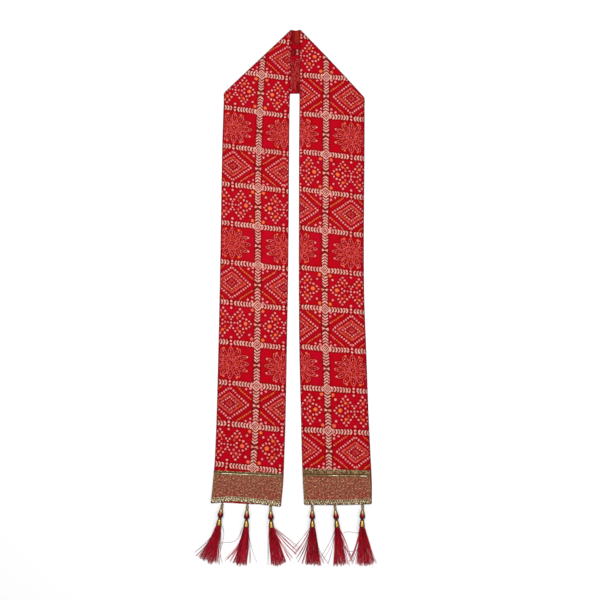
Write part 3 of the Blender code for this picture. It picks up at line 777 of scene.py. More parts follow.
def make_cloth():
    """Crimson art silk with a tied-dot print between pale chevron lines."""
    paint = Paint("printed_cloth")
    u, v = paint.map_place("Print")
    place = paint.vector(u * CELL_WIDTH, v * CELL_HEIGHT)
    drift_x, drift_y, _ = paint.wobble(place, 0.05)
    jitter_x, jitter_y, jitter = paint.wobble(place, 0.3)
    u = u + (drift_x * 3.0 + jitter_x * 1.7) / CELL_WIDTH
    v = v + (drift_y * 3.0 + jitter_y * 1.7) / CELL_HEIGHT
    x, y = u.from_middle() * CELL_WIDTH, v.from_middle() * CELL_HEIGHT
    kind = v.math("FLOOR").math("FLOORED_MODULO", 3.0)
    folded = paint.vector(x, y)

    motifs = (
        star_motif(paint, folded),
        mandala_motif(paint, x, y, folded),
        diamond_motif(paint, x, y, folded),
    )
    groups = []
    for colours in zip(*motifs):
        shown = [
            distance + abs(kind - number).ramp(0.2, 0.8) * 50.0
            for number, distance in enumerate(colours)
        ]
        groups.append(least(*shown))
    pale, strip, brown = lattice(x * -1.0 + HALF_CELL[0], y * -1.0 + HALF_CELL[1])
    away = strip * -1.0 - 0.4
    pink, orange, coral = (most(group + jitter * 1.1, away) for group in groups)

    tone = paint.noise(place, 0.02, 2.0)
    patch = paint.noise(place, 0.07, 3.0)
    tint = paint.noise(place, 0.16, 1.0)
    ground = paint.blend(tone.ramp(0.38, 0.62) * 0.45, CRIMSON, CRIMSON_COOL)
    ground = paint.blend(patch.ramp(0.45, 0.75) * 0.6, ground, CRIMSON_DEEP)
    near = least(pink, orange, coral, strip)
    ground = paint.blend(near.ramp(5.0, 0.6) * 0.55, ground, CRIMSON_DEEP)
    ground = paint.blend(near.ramp(2.2, 0.3) * 0.75, ground, MAROON)
    red = paint.blend(tint.ramp(0.4, 0.6), CORAL, CORAL_PALE)
    red = paint.blend(tint.ramp(0.43, 0.35) * 0.7, red, ORANGE)
    colour = paint.blend(coral.ramp(0.5, -0.5), ground, red)
    glow = paint.blend(orange.ramp(-0.6, -2.2), ORANGE, ORANGE_PALE)
    glow = paint.blend(tint.ramp(0.5, 0.62), glow, CORAL_PALE)
    colour = paint.blend(orange.ramp(0.5, -0.5), colour, glow)
    dots = paint.blend(pink.ramp(-0.3, -1.5), PINK, PINK_PALE)
    dots = paint.blend(tint.ramp(0.5, 0.36) * 0.75, dots, ROSE)
    colour = paint.blend(pink.ramp(0.5, -0.5), colour, dots)
    strip_red = paint.blend(patch.ramp(0.4, 0.6), MAROON, CRIMSON_DEEP)
    colour = paint.blend(strip.ramp(0.6, -0.6), colour, strip_red)
    olive = paint.blend(patch.ramp(0.4, 0.6), OLIVE, OLIVE_DARK)
    colour = paint.blend(brown.ramp(0.6, -0.5), colour, olive)
    light = paint.blend(tint.ramp(0.38, 0.58), CREAM_DULL, CREAM)
    print_share = pale.ramp(0.45, -0.45)
    colour = paint.blend(print_share, colour, light)

    colour = paint.blend(paint.mark("faint"), colour, ground)
    colour = paint.blend(paint.mark("warm") * 0.22, colour, ORANGE)
    # Painted shade at the cloth's edges, fold and hem, and over the neck.
    colour = paint.blend(paint.mark("edge") * 0.92, colour, SIDE_SHADOW)
    paint.link("Base Color", colour)

    thread = paint.noise(paint.vector(u * 520.0, v * 60.0), 1.0, 2.0)
    cross = paint.noise(paint.vector(u * 70.0, v * 420.0), 1.0, 2.0)
    weave = thread * 0.6 + cross * 0.4
    paint.bump(weave, 0.12 * MM, 0.5)
    paint.link("Roughness", weave * 0.2 + 0.4 - print_share * 0.08)
    paint.set(Specular_IOR_Level=0.25, Specular_Tint=SILK_GLOSS)
    paint.set(Sheen_Weight=0.03, Sheen_Roughness=0.5, Sheen_Tint=SILK_GLOSS)
    return paint.material


def make_lace():
    """Woven brocade: gold and rose-brown stitches in herringbone columns over a dark red ground."""
    paint = Paint("gold_lace")
    u, v = paint.map_place("Lace")
    place = paint.vector(u * 100.0, v * 100.0)
    drift, lift, _ = paint.wobble(place, 0.3, 2.0)
    across = u * 100.0 + drift * 1.6
    up = v * 100.0 + lift * 1.6
    column = across / LACE_COLUMN
    lean = column.from_middle() * 2.0
    stitch = (up / LACE_STITCH + lean * LACE_LEAN).from_middle() * 2.0
    rib = (across.repeated(2.1) / 1.05).ramp(0.55, 1.0)
    fibre = paint.noise(paint.vector(across * 1.6, up * 3.4), 1.0, 2.0)
    patch = paint.noise(place, 0.075, 3.0, 0.6)
    speck = paint.noise(place, 0.3, 1.0, 0.6)
    tone = paint.noise(paint.vector(u * -140.0, v * 140.0), 0.26, 1.0, 0.6)
    thread = paint.blend(tone.ramp(0.44, 0.56), LACE_ROSE, LACE_GOLD)
    low = (up * -1.0 + 16.0) * 0.006
    thread = paint.blend((patch + low).ramp(0.48, 0.6) * 0.8, thread, LACE_RED)
    side = least(across - LACE_MARGIN, across * -1.0 + (BAND_WIDTH / MM - LACE_MARGIN))
    middle = abs(across - LACE_STRIPE) - 2.4
    olive = most(side.ramp(3.0, -2.5) * 0.85, middle.ramp(2.0, -1.2) * 0.6, up.ramp(49.5, 51.0) * 0.85)
    thread = paint.blend(olive, thread, LACE_OLIVE)
    gap = most(stitch.ramp(0.3, 0.8) * mix_field(olive, 0.8, 0.5), rib * 0.35)
    colour = paint.blend(gap, thread, LACE_DEEP)
    colour = paint.blend(speck.ramp(0.46, 0.36) * 0.85, colour, LACE_DEEP)
    colour = paint.blend(speck.ramp(0.56, 0.66) * (gap * -0.5 + 0.75), colour, LACE_GLINT)
    paint.link("Base Color", colour)
    shine = (gap * -1.0 + 1.0) * speck.ramp(0.45, 0.65)
    paint.link("Metallic", shine * 0.5)
    paint.link("Roughness", fibre * 0.3 + 0.34)
    paint.set(Specular_IOR_Level=0.25)
    paint.bump(fibre * 0.5 - gap, 0.25 * MM, 0.7)
    return paint.material


def make_thread(name, stops, metallic, roughness, grain, mottle):
    """A finish for threads: its colour runs through the stops as their tint goes from 0 to 1."""
    paint = Paint(name)
    tint = paint.mark("tint")
    fleck = paint.noise(paint.object_place(), grain, 2.0, 0.6)
    shown = tint + (fleck - 0.5) * mottle
    colour = paint.colour(stops[0][1])
    for (low, _), (high, over) in zip(stops, stops[1:]):
        colour = paint.blend(shown.ramp(low, high), colour, over)
    paint.link("Base Color", colour)
    paint.link("Roughness", fleck * 0.25 + (roughness - 0.12))
    paint.set(Metallic=metallic, Specular_IOR_Level=0.2)
    paint.bump(fleck, 0.1 * MM, 0.4)
    return paint.material


def make_metal():
    """Gold-tone caps: thin plating, scratched and worn, with painted shade that makes them browner low on the
    sides and on the bell's narrow top.
    """
    paint = Paint("gold_metal")
    place = paint.object_place()
    _, _, height = paint.parts(place)
    scratch = paint.noise(place, 2600.0, 2.0, 0.7)
    worn = paint.noise(place, 420.0, 2.0)
    # Painted shade: the caps are browner low on their sides.
    low = height.ramp(BEAD_RADIUS + 4.4 * MM, BEAD_RADIUS + 1.6 * MM)
    plate = paint.blend(paint.mark("beige"), METAL_LIGHT, METAL_BEIGE)
    colour = paint.blend(low, plate, METAL_SHADE_AND_WEAR)
    colour = paint.blend(worn.ramp(0.55, 0.75) * 0.5, colour, METAL_SHADE_AND_WEAR)
    # Painted shade on the bell's narrow top.
    colour = paint.blend(paint.mark("collar") * 0.7, colour, METAL_TOP_SHADE)
    paint.link("Base Color", colour)
    paint.link("Roughness", scratch * 0.18 + 0.2)
    paint.link("Metallic", paint.mark("beige") * -0.5 + 1.0)
    paint.set(Coat_Weight=0.35, Coat_Roughness=0.12)
    paint.bump(scratch, 0.04 * MM, 0.3)
    return paint.material


def make_bead():
    """Deep red glossy bead, with painted shade that makes it almost black at its rim, and a painted highlight
    near its top.
    """
    paint = Paint("red_bead")
    place = paint.object_place()
    _, _, height = paint.parts(place)
    cloud = paint.noise(place, 300.0, 2.0)
    # Painted shade: darker low on the sides, redder towards the top.
    heart = height.ramp(BEAD_RADIUS + 1.6 * MM, BEAD_RADIUS * 1.97) * (cloud * 0.6 + 0.7)
    colour = paint.blend(heart, BEAD_SHADE, BEAD_RED)
    # Painted highlight near the top.
    paint.link("Base Color", paint.blend(paint.mark("heart") * 0.8, colour, BEAD_HIGHLIGHT))
    paint.link("Roughness", cloud * 0.12 + 0.1)
    paint.set(Specular_IOR_Level=0.5, Specular_Tint=SILK_GLOSS, Coat_Weight=0.25, Coat_Roughness=0.08)
    return paint.material


# Meshes


def new_object(name, data):
    obj = bpy.data.objects.new(name, data)
    bpy.context.scene.collection.objects.link(obj)
    return obj


def new_piece(name, mesh, slot, *nodes):
    """A piece of the stole that stands for some of the part's nodes."""
    obj = new_object(name, mesh)
    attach(obj, "root")
    if nodes:
        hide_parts(*nodes)
    return obj


def mesh_from(name, points, faces, material, maps=None, marks=None):
    """A smooth mesh. maps has a place for each face corner, and marks a number for each point."""
    mesh = bpy.data.meshes.new(name)
    mesh.from_pydata([tuple(p) for p in points], [], faces)
    mesh.materials.append(material)
    for key, corners in (maps or {}).items():
        layer = mesh.uv_layers.new(name=key)
        layer.data.foreach_set("uv", np.asarray(corners, np.float32).ravel())
    for key, values in (marks or {}).items():
        attribute = mesh.attributes.new(key, "FLOAT", "POINT")
        attribute.data.foreach_set("value", np.asarray(values, np.float32))
    mesh.shade_smooth()
    mesh.update()
    return mesh


def spaced(width, fine, pitch):
    """Places from 0 to width: fine ones near both ends, and even ones between."""
    count = max(round((width - 2 * fine[-1]) / pitch), 1)
    inner = [mix(fine[-1], width - fine[-1], i / count) for i in range(1, count)]
    return [*fine, *inner, *(width - d for d in reversed(fine))]


EDGE_STEPS = [d * MM for d in (0.0, 0.1, 0.3, 0.65, 1.1, 1.8, 2.8)]
COLUMN_PITCH = 3.1 * MM
ROW_PITCH = 3.2 * MM
EVEN_ROWS_LENGTH = 780 * MM
CLIMB_ROWS = 8
TOP_ROW_COUNT = 34
FOLD_STEPS = 9


def print_place(side, x, y):
    """A point of the print, in squares across and along, from its place on the upper layer."""
    heights, lines, falls = zip(*reversed(CROSSINGS[side]))
    line, fall = (float(np.interp(y / MM, heights, values)) for values in (lines, falls))
    u = (x / MM - line) / CELL_WIDTH
    level = y / MM + fall * (x / MM - line)
    if level > heights[-1]:
        number = -(level - heights[-1]) / CELL_HEIGHT
    else:
        number = float(np.interp(level, heights, range(len(heights) - 1, -1, -1)))
    v = number - 1.0
    return (u, v) if side == "left" else (u, -v)


def leg_rows(side, across):
    """Heights along a leg from the hem to where the wall starts to roll under."""
    hem = hem_y(side, across, "cloth")
    turn = crease_y(side, across) - FOLD_RADIUS * crease_slope(side)
    start = climb_end(band_x(side, across, turn)) - RAMP_LENGTH
    heights = [hem + d * MM for d in (0.0, 0.25, 0.7, 1.3, 2.0)]
    count = round(EVEN_ROWS_LENGTH / ROW_PITCH)
    heights += [mix(heights[-1], start, i / count) for i in range(1, count + 1)]
    heights += [start + RAMP_LENGTH * i / CLIMB_ROWS for i in range(1, CLIMB_ROWS)]
    heights += [mix(start + RAMP_LENGTH, turn, i / TOP_ROW_COUNT) for i in range(TOP_ROW_COUNT + 1)]
    return heights


def leg_line(side, inward):
    """One lengthwise line of a leg's outer face: over its top, round the fold and back underneath.

    Each item is a point, the same point as it lies on the print, and its share of painted shade, which grows
    near the side edges, the fold and the hem.
    """
    across = inward / BAND_WIDTH
    from_edge = min(inward, BAND_WIDTH - inward)
    top_share = arch(from_edge / TOP_SOFT)
    under_share = arch(from_edge / UNDER_SOFT)
    heights = leg_rows(side, across)
    hem, turn = heights[0], heights[-1]
    slope = crease_slope(side)
    crease = crease_y(side, across)
    over, under = [], []
    for y in heights:
        x = band_x(side, across, y)
        left, right = band_edges(side, y)
        low = lift_at(x, y)
        hem_share = arch((y - hem) / HEM_SOFT)
        full = mix(HEM_SLIT, BAND_WALL, hem_share)
        form = swell_at(side, x, y) + furrow_at(side, x, y) + ripple_at(x, y)
        high = low + mix(EDGE_HEIGHT, full + form * hem_share, top_share)
        pressed = max(furrow_at(side, x, y), 0.0) * UNDER_FURROW_SHARE
        base = low + mix(EDGE_HEIGHT, pressed * hem_share, under_share)
        to_fold = (crease - y) / slope
        # Painted shade: darker along the side edges, towards the fold and just above the hem.
        near = math.exp(-from_edge / EDGE_SHADE[side][across > 0.5])
        near = max(near, math.exp(-to_fold / (1.7 * MM)), 0.8 * math.exp(-(y - hem) / (0.9 * MM)))
        over.append(((x, y, high), (x, y), near))
        print_x = 2 * left - x if across < 0.5 else 2 * right - x
        under.append(((x, y, base), (print_x, y), near))
    lean = math.copysign(1.0, CREASES[side].right - CREASES[side].left)
    top = over[-1][0][2]
    centre, half = top / 2, top / 2
    side_share = arch(from_edge / (2.2 * MM))
    lip = []
    for i in range(1, FOLD_STEPS + 1):
        angle = math.pi * (0.5 - i / FOLD_STEPS)
        reach = (crease - turn) * math.cos(angle) * side_share
        y = turn + reach + (1 - side_share) * 0.5 * (crease - turn)
        x = band_x(side, across, y)
        z = centre + half * math.sin(angle) * side_share
        ahead = FOLD_RADIUS * (math.pi / 2 - angle) - reach / slope
        shift = ahead * math.sqrt(0.5)
        lip.append(((x, y, z), (x - lean * shift, y + shift), 1.0))
    return over + lip + under[::-1]


def leg_grid(side):
    """The leg's outer face as rows of points across, from the hem over the fold to the hem again."""
    places = spaced(BAND_WIDTH, EDGE_STEPS, COLUMN_PITCH)
    lines = [leg_line(side, inward) for inward in places]
    return [list(row) for row in zip(*lines)]


def shell_piece(name, grid, print_corner, material, node, bake_place, more_marks=None):
    """A thin closed shell whose outer face is a grid of points, open only at the pressed mouth.

    The first and the last column are where the upper and the lower layer meet.
    """
    rows, columns = len(grid), len(grid[0])
    points, index, marks, known = [], [], [], {}
    for row in grid:
        numbers = []
        for j, (point, _, near) in enumerate(row):
            key = tuple(round(c / MM, 3) for c in point)
            if j in (0, columns - 1) and key in known:
                numbers.append(known[key])
                continue
            known[key] = len(points)
            numbers.append(len(points))
            points.append(point)
            marks.append(near)
        index.append(numbers)
    faces, prints, bakes, inner_bakes = [], [], [], []
    for i in range(rows - 1):
        for j in range(columns - 1):
            kept = {index[r][c]: (r, c) for r, c in ((i, j), (i, j + 1), (i + 1, j + 1), (i + 1, j))}
            if len(kept) < 3:
                continue
            faces.append(list(kept))
            for r, c in kept.values():
                prints.append(print_corner(*grid[r][c][1]))
                bakes.append(bake_place(i, r, c / (columns - 1)))
                inner_bakes.append((0.005 + 0.99 * r / (rows - 1), 0.945 + 0.05 * c / (columns - 1)))
    # Each point's share of painted shade, kept as the edge mark.
    marks = {"edge": marks}
    for key, mark_at in (more_marks or {}).items():
        marks[key] = [mark_at(point[0] / MM, point[1] / MM) for point in points]
    return thin_shell(name, points, faces, prints, bakes, inner_bakes, marks, material, node)


def thin_shell(name, points, faces, prints, bakes, inner_bakes, marks, material, node):
    """Gives an open surface its inner wall, and joins the two walls along every open edge."""
    outer = mesh_from(name + "_outer", points, faces, material)
    normals = np.array([vertex.normal for vertex in outer.vertices])
    bpy.data.meshes.remove(outer)
    inner = np.asarray(points) - normals * CLOTH_THICKNESS
    count = len(points)
    sides = {(a, b) for face in faces for a, b in zip(face, face[1:] + face[:1])}
    rim = [(b, a) for a, b in sides if (b, a) not in sides]
    rim.sort()
    starts = np.cumsum([0] + [len(face) for face in faces[:-1]])
    place = {p: start + k for face, start in zip(faces, starts) for k, p in enumerate(face)}
    all_faces, all_prints, all_bakes = list(faces), list(prints), list(bakes)
    for face, start in zip(faces, starts):
        corners = range(start + len(face) - 1, start - 1, -1)
        all_faces.append([p + count for p in face[::-1]])
        all_prints += [prints[k] for k in corners]
        all_bakes += [inner_bakes[k] for k in corners]
    for a, b in rim:
        all_faces.append([a, b, b + count, a + count])
        ends = [place[a], place[b]]
        all_prints += [prints[ends[0]], prints[ends[1]], prints[ends[1]], prints[ends[0]]]
        u, v = inner_bakes[ends[0]]
        all_bakes += [(u, v), (u, v + 0.004), (u + 0.004, v + 0.004), (u + 0.004, v)]
    maps = {"Print": all_prints, "OFBake": np.clip(all_bakes, 0.0, 1.0)}
    marks = {key: values + values for key, values in marks.items()}
    mesh = mesh_from(name, [*points, *inner], all_faces, material, maps, marks)
    return new_piece(name, mesh, "printed_cloth", node)


LEG_STRIPS = 3  # the upper layer's part of the baked map is this many strips side by side


def make_leg(side, material):
    grid = leg_grid(side)
    over = len(grid) // 2 + FOLD_STEPS // 2
    per_strip = -(-over // LEG_STRIPS)

    def bake_place(i, r, across):
        if i >= over:
            return 0.005 + 0.99 * (r - over) / (len(grid) - 1 - over), 0.815 + 0.12 * across
        strip = i // per_strip
        along = (r - strip * per_strip) / per_strip
        return (strip + 0.01 + 0.97 * across) / LEG_STRIPS, 0.005 + 0.79 * along

    def print_corner(x, y):
        return print_place(side, x, y)

    return shell_piece(f"cloth_leg_{side}", grid, print_corner, material, f"leg_{side}", bake_place)


def make_neck(material):
    """The stretch behind the legs: over its top from the left fold to the right one, and back underneath."""
    left, right = NECK_ENDS
    gap_left, gap_right = NECK_GAP
    places = list(np.linspace(left, gap_left - 1.0, 44))
    places += list(np.linspace(gap_left - 0.4, gap_right + 0.4, 48))
    places += list(np.linspace(gap_right + 1.0, right, 44))
    shares = [place / BAND_WIDTH for place in spaced(BAND_WIDTH, EDGE_STEPS, 3.6 * MM)]
    over, under = [], []
    for x in places:
        top_row, bottom_row = [], []
        high, low = neck_upper(x), straight_table(NECK_LOWER, x) * MM
        inside = smooth((x - gap_left) / 2.5) * smooth((gap_right - x) / 2.5)
        for share in shares:
            y = mix(high, low, share)
            from_edge = min(share, 1 - share) * max(high - low, 1 * MM)
            free = inside if share < 0.5 else 1.0
            top_share = mix(1.0, arch(from_edge / (2.0 * MM)), free)
            under_share = mix(1.0, arch(from_edge / (0.8 * MM)), free)
            top = mix(EDGE_HEIGHT, NECK_WALL + pleat_at(x, y) * inside, top_share)
            base = mix(EDGE_HEIGHT, 0.0, under_share)
            if share in (0.0, 1.0):
                top = base = mix(NECK_WALL / 2, EDGE_HEIGHT, free)
            # Painted shade along the neck's free edges, and at least NECK_SHADE of it over its whole upper
            # face.
            near = free * math.exp(-from_edge / (0.9 * MM))
            top_row.append(((x * MM, y, top), (x * MM, y), max(near, NECK_SHADE)))
            beyond = 2 * high - y if share < 0.5 else 2 * low - y
            bottom_row.append(((x * MM, y, base), (x * MM, beyond), near))
        over.append(top_row)
        under.append(bottom_row)
    grid = over + under[::-1]
    rows = len(grid)

    def bake_place(i, r, across):
        return 0.005 + 0.99 * r / (rows - 1), 0.005 + 0.93 * across

    def print_corner(x, y):
        return (NECK_LINE_Y - y / MM) / CELL_WIDTH, (x / MM - NECK_MARKER_X) / CELL_HEIGHT + 1.5

    marks = {"faint": neck_faintness, "warm": neck_warmth}
    return shell_piece("cloth_neck", grid, print_corner, material, "neck", bake_place, marks)


def neck_faintness(x, y):
    """How faint the print is on the neck: more so above, beside the marker and low on the right."""
    beside = smooth((13.6 - x) / 1.6) * smooth((11.0 - abs(y - NECK_LINE_Y)) / 3.0)
    above = smooth((y - 484.0) / 4.0)
    low = smooth((x - 14.5) / 1.5) * smooth((413.0 - y) / 4.0)
    return max(0.32, 0.95 * beside, 0.8 * above, 0.9 * low)


def neck_warmth(x, y):
    """A warm red band of the print, at the top of the neck."""
    across = smooth((x - 12.0) / 2.0) * smooth((21.5 - x) / 2.0)
    return across * smooth((y - 494.0) / 5.0) * smooth((522.0 - y) / 4.0)


def neck_upper(x):
    """The neck's upper edge: against the folds, and with a slight sag between them."""
    if NECK_GAP[0] <= x <= NECK_GAP[1]:
        share = (x - NECK_GAP[0]) / (NECK_GAP[1] - NECK_GAP[0])
        return TOP_Y - (0.6 + NECK_DIP * math.sin(math.pi * share)) * MM
    side = "left" if x < NECK_GAP[0] else "right"
    left, right = band_edges(side, TOP_Y)
    across = (x * MM - left) / (right - left)
    return crease_y(side, across) - (FOLD_RADIUS + 0.1 * MM) * crease_slope(side)


def pleat_at(x, y):
    """A tuck in the neck where it shows: a sharp dip with a soft roll beside it, fading downwards."""
    share = smooth((y / MM - 445.0) / 50.0)
    middle = NECK_PLEAT_X + 1.2 * math.sin(y / MM / 16.0)
    dip = math.exp(-(((x - middle) / 0.8) ** 2))
    roll = math.exp(-(((x - middle - 3.4) / 2.4) ** 2))
    low_dip = math.exp(-(((x - 16.5) / 1.6) ** 2)) * smooth((452.0 - y / MM) / 40.0)
    return ((0.62 * roll - 1.0 * dip) * mix(0.25, 1.0, share) - 0.5 * low_dip) * MM


def thread_tube(path, half_wide, half_high, sides):
    """Points, faces and map corners of a closed tube along a path that lies more or less level."""
    path = np.asarray(path, float)
    ahead = np.gradient(path, axis=0)
    ahead /= np.linalg.norm(ahead, axis=1)[:, None]
    beside = np.cross((0.0, 0.0, 1.0), ahead)
    beside /= np.maximum(np.linalg.norm(beside, axis=1), 1e-9)[:, None]
    up = np.cross(ahead, beside)
    wide = np.broadcast_to(np.asarray(half_wide, float), len(path))
    high = np.broadcast_to(np.asarray(half_high, float), len(path))
    angles = math.tau * np.arange(sides) / sides
    rings = path[:, None, :] + (
        beside[:, None, :] * (np.cos(angles)[None, :] * wide[:, None])[:, :, None]
        + up[:, None, :] * (np.sin(angles)[None, :] * high[:, None])[:, :, None]
    )
    faces, corners = tube_faces(len(path), sides)
    return rings.reshape(-1, 3), faces, corners


def tube_faces(rings, sides):
    """Faces of a closed tube of rings, and each corner's (round, along) place from 0 to 1."""
    faces, corners = [], []
    for i in range(rings - 1):
        low, high = (mix(0.03, 0.97, (i + k) / (rings - 1)) for k in (0, 1))
        for j in range(sides):
            k = (j + 1) % sides
            a, b = i * sides, (i + 1) * sides
            faces.append((a + k, a + j, b + j, b + k))
            before, after = j / sides, (j + 1) / sides
            corners += [(after, low), (before, low), (before, high), (after, high)]
    caps = (range(sides), range(rings * sides - 1, (rings - 1) * sides - 1, -1))
    for cap, middle in zip(caps, (0.015, 0.985)):
        faces.append(tuple(cap))
        turns = [math.tau * k / sides for k in range(sides)]
        corners += [(0.5 + 0.4 * math.cos(turn), middle + 0.01 * math.sin(turn)) for turn in turns]
    return faces, corners


def along_path(path, shares, values):
    """A value for each point of a path, from the values at some shares of its length."""
    return np.interp(np.linspace(0, 1, len(path)), shares, values)


class Pile:
    """Many small shapes in one mesh, each with its own tint and its own strip of the baked map."""

    def __init__(self):
        self.points, self.faces, self.corners, self.tints = [], [], [], []
        self.count = 0

    def add(self, points, faces, corners, tint=0.5):
        self.points.append(np.asarray(points, float))
        self.faces += [tuple(i + self.count for i in face) for face in faces]
        self.corners.append(np.asarray(corners, float))
        self.tints.append(np.broadcast_to(np.asarray(tint, float), len(points)))
        self.count += len(points)

    def thread(self, path, half_wide, half_high=None, sides=6, tint=0.5):
        """A tube along a path. Its half width and its tint may change from point to point."""
        high = half_wide if half_high is None else half_high
        tints = np.repeat(tint, sides) if np.ndim(tint) else tint
        self.add(*thread_tube(path, half_wide, high, sides), tint=tints)

    def mesh(self, name, material):
        points, tints = np.concatenate(self.points), np.concatenate(self.tints)
        total = len(self.corners)
        strips = []
        for number, corners in enumerate(self.corners):
            strips.append((corners * (0.96, 0.99) + (number + 0.02, 0.005)) / (total, 1.0))
        maps = {"OFBake": np.concatenate(strips)}
        return mesh_from(name, points, self.faces, material, maps, {"tint": tints})

    def piece(self, name, material, slot, *nodes):
        return new_piece(name, self.mesh(name, material), slot, *nodes)


# The lace border


def lace_share(side, share, y):
    border = BORDERS[side]
    left, right = band_edges(side, y)
    width = right - left
    return mix(border.inset_left * MM / width, 1 - border.inset_right * MM / width, share)


def lace_edges(side, share):
    """The lace's lower and upper edge at a place across it."""
    border = BORDERS[side]
    upper = mix(border.upper_left, border.upper_right, share) * MM
    return hem_y(side, lace_share(side, share, upper), "lace"), upper


def lace_point(side, share, y, z):
    return (band_x(side, lace_share(side, share, y), y), y, z)


def across_lace(side, margin, steps):
    """Steps across the lace: each one's number, its share of the way, and the lace's two edges there."""
    for i in range(steps + 1):
        share = mix(margin, 1 - margin, i / steps)
        yield i, share, *lace_edges(side, share)


def ply_paths(side, edge, above, height, coil, twist):
    """The two plies of a cord across the lace, above the lace's lower (0) or upper (1) edge.

    coil is how far they wind up the lace and off it, and twist how far they turn at each step.
    """
    for start in (0, math.pi):
        path = []
        for i, share, *edges in across_lace(side, 0.003, PLY_STEPS):
            angle = i * twist + start
            y = edges[edge] + above + coil[0] * math.sin(angle)
            path.append(lace_point(side, share, y, height + coil[1] * math.cos(angle)))
        yield path


def lace_relief(across, up):
    """Height of the lace's herringbone stitches, 0 to 1, at a place on it in millimetres."""
    column = across / LACE_COLUMN
    lean = abs(column - math.floor(column) - 0.5) * 2
    stitch = (up / LACE_STITCH + lean * LACE_LEAN) % 1.0
    ridge = math.sin(math.pi * stitch) ** 0.8
    rib = abs(math.sin(math.pi * across / 2.1)) ** 0.5
    return ridge * mix(0.5, 1.0, rib)


def make_border(side, material):
    """The woven lace: a thin panel with raised herringbone stitches and a rounded edge all round."""
    columns, rows = round(BAND_WIDTH / LACE_GRID), round(BORDER_HEIGHT / LACE_GRID)
    floor = BAND_WALL + SEAM_GAP * 0.4
    points, faces, corners = [], [], []
    for layer in (0, 1):
        for j in range(rows + 1):
            for i in range(columns + 1):
                share = i / columns
                low, high = lace_edges(side, share)
                y = mix(low, high, j / rows)
                from_edge = min(share * BAND_WIDTH, (1 - share) * BAND_WIDTH, y - low, high - y)
                lift = 0.0
                if layer:
                    relief = lace_relief(share * BAND_WIDTH / MM, (y - low) / MM)
                    full = BORDER_WALL * 0.62 + 0.3 * MM * relief
                    lift = full * mix(0.35, 1.0, arch(from_edge / (1.2 * MM)))
                    lift += 0.12 * MM * math.sin(share * 23.0) * math.sin(j / rows * math.pi)
                points.append(lace_point(side, share, y, floor + lift))
    across, layer_size = columns + 1, (columns + 1) * (rows + 1)
    for j in range(rows):
        for i in range(columns):
            a = j * across + i
            square = (a, a + 1, a + across + 1, a + across)
            faces.append(tuple(p + layer_size for p in square))
            faces.append(square[::-1])
    ring = list(range(across))
    ring += [j * across + columns for j in range(1, rows + 1)]
    ring += [rows * across + i for i in range(columns - 1, -1, -1)]
    ring += [j * across for j in range(rows - 1, 0, -1)]
    for a, b in zip(ring, ring[1:] + ring[:1]):
        faces.append((a, b, b + layer_size, a + layer_size))
    bakes = []
    for number, face in enumerate(faces):
        for k, p in enumerate(face):
            share_x, share_y = (p % layer_size % across) / columns, (p % layer_size // across) / rows
            corners.append((share_x * BAND_WIDTH / MM / 100, share_y * 0.59))
            if number >= 2 * rows * columns:
                ring_share = (number - 2 * rows * columns + (k in (1, 2))) / len(ring)
                bakes.append((0.005 + 0.99 * ring_share, 0.96 if p < layer_size else 0.99))
            else:
                low, tall = (0.005, 0.85) if p >= layer_size else (0.865, 0.08)
                bakes.append((0.005 + 0.99 * share_x, low + tall * share_y))
    name = f"lace_border_{side}"
    mesh = mesh_from(name, points, faces, material, {"Lace": corners, "OFBake": bakes})
    return new_piece(name, mesh, "gold_lace", f"border_{side}")


def make_upper_braid(side, material):
    """The lace's upper edging: rows of small loops, two twisted cords and a bright crimped ribbon."""
    rng = random.Random(len(side) * 7)
    pile = Pile()
    ground = BAND_WALL + SEAM_GAP + BORDER_WALL * 0.7
    edging = EDGINGS[side]
    for number, base in enumerate(edging.loops):
        for k in range(EDGING_LOOPS):
            middle = mix(0.008, 0.992, (k + 0.3 + 0.4 * (number % 2)) / EDGING_LOOPS)
            path = []
            tall = rng.uniform(2.3, 2.9) * MM
            for i in range(11):
                angle = math.pi * (i / 10 * 1.3 - 0.15)
                share = middle - math.cos(angle) * 0.47 / EDGING_LOOPS
                _, high = lace_edges(side, share)
                y = high - base * MM + math.sin(angle) * tall
                drop = BORDER_WALL * 0.6 * smooth((y - high) / (1.5 * MM))
                path.append(lace_point(side, share, y, ground - drop + (0.2 + 0.4 * math.sin(angle)) * MM))
            pile.thread(path, 0.5 * MM, 0.4 * MM, 5, rng.choice((0.15, 0.3, 0.42, 0.6)))
    for down, cord in zip(edging.cords, EDGING_CORDS):
        coil = (0.32 * MM, 0.3 * MM)
        for path in ply_paths(side, 1, -down * MM, ground + 0.35 * MM, coil, cord.twist):
            pile.thread(path, cord.radius * MM * 0.75, sides=5, tint=cord.tint)
    path, widths, shine = [], [], []
    for i, share, _, high in across_lace(side, 0.004, RIBBON_STEPS):
        lift = 0.5 + 0.13 * math.sin(i * 1.9) + 0.1 * math.sin(i * 0.31)
        y = high - edging.ribbon * MM + 0.2 * MM * math.sin(i * 0.9) + 0.15 * MM * math.sin(i * 0.23)
        path.append(lace_point(side, share, y, ground + lift * MM))
        widths.append((0.85 + 0.25 * math.sin(i * 1.9 + 1.0)) * MM)
        shine.append(upper_shine(side, i / RIBBON_STEPS) * rng.choice((0.75, 0.85, 1.0, 1.1)))
    pile.thread(path, widths, 0.24 * MM, 6, shine)
    return pile.piece(f"braid_upper_{side}", material, "gold_braid", f"upper_braid_{side}")


def upper_shine(side, share):
    """How bright the ribbon is along its length, where its metal catches the light."""
    total = RIBBON_DULL[side]
    for shine in RIBBON_SHINE[side]:
        total += shine.gain * smooth((share - shine.start) / 0.03) * smooth((shine.end - share) / 0.03)
    return min(total, 1.0)


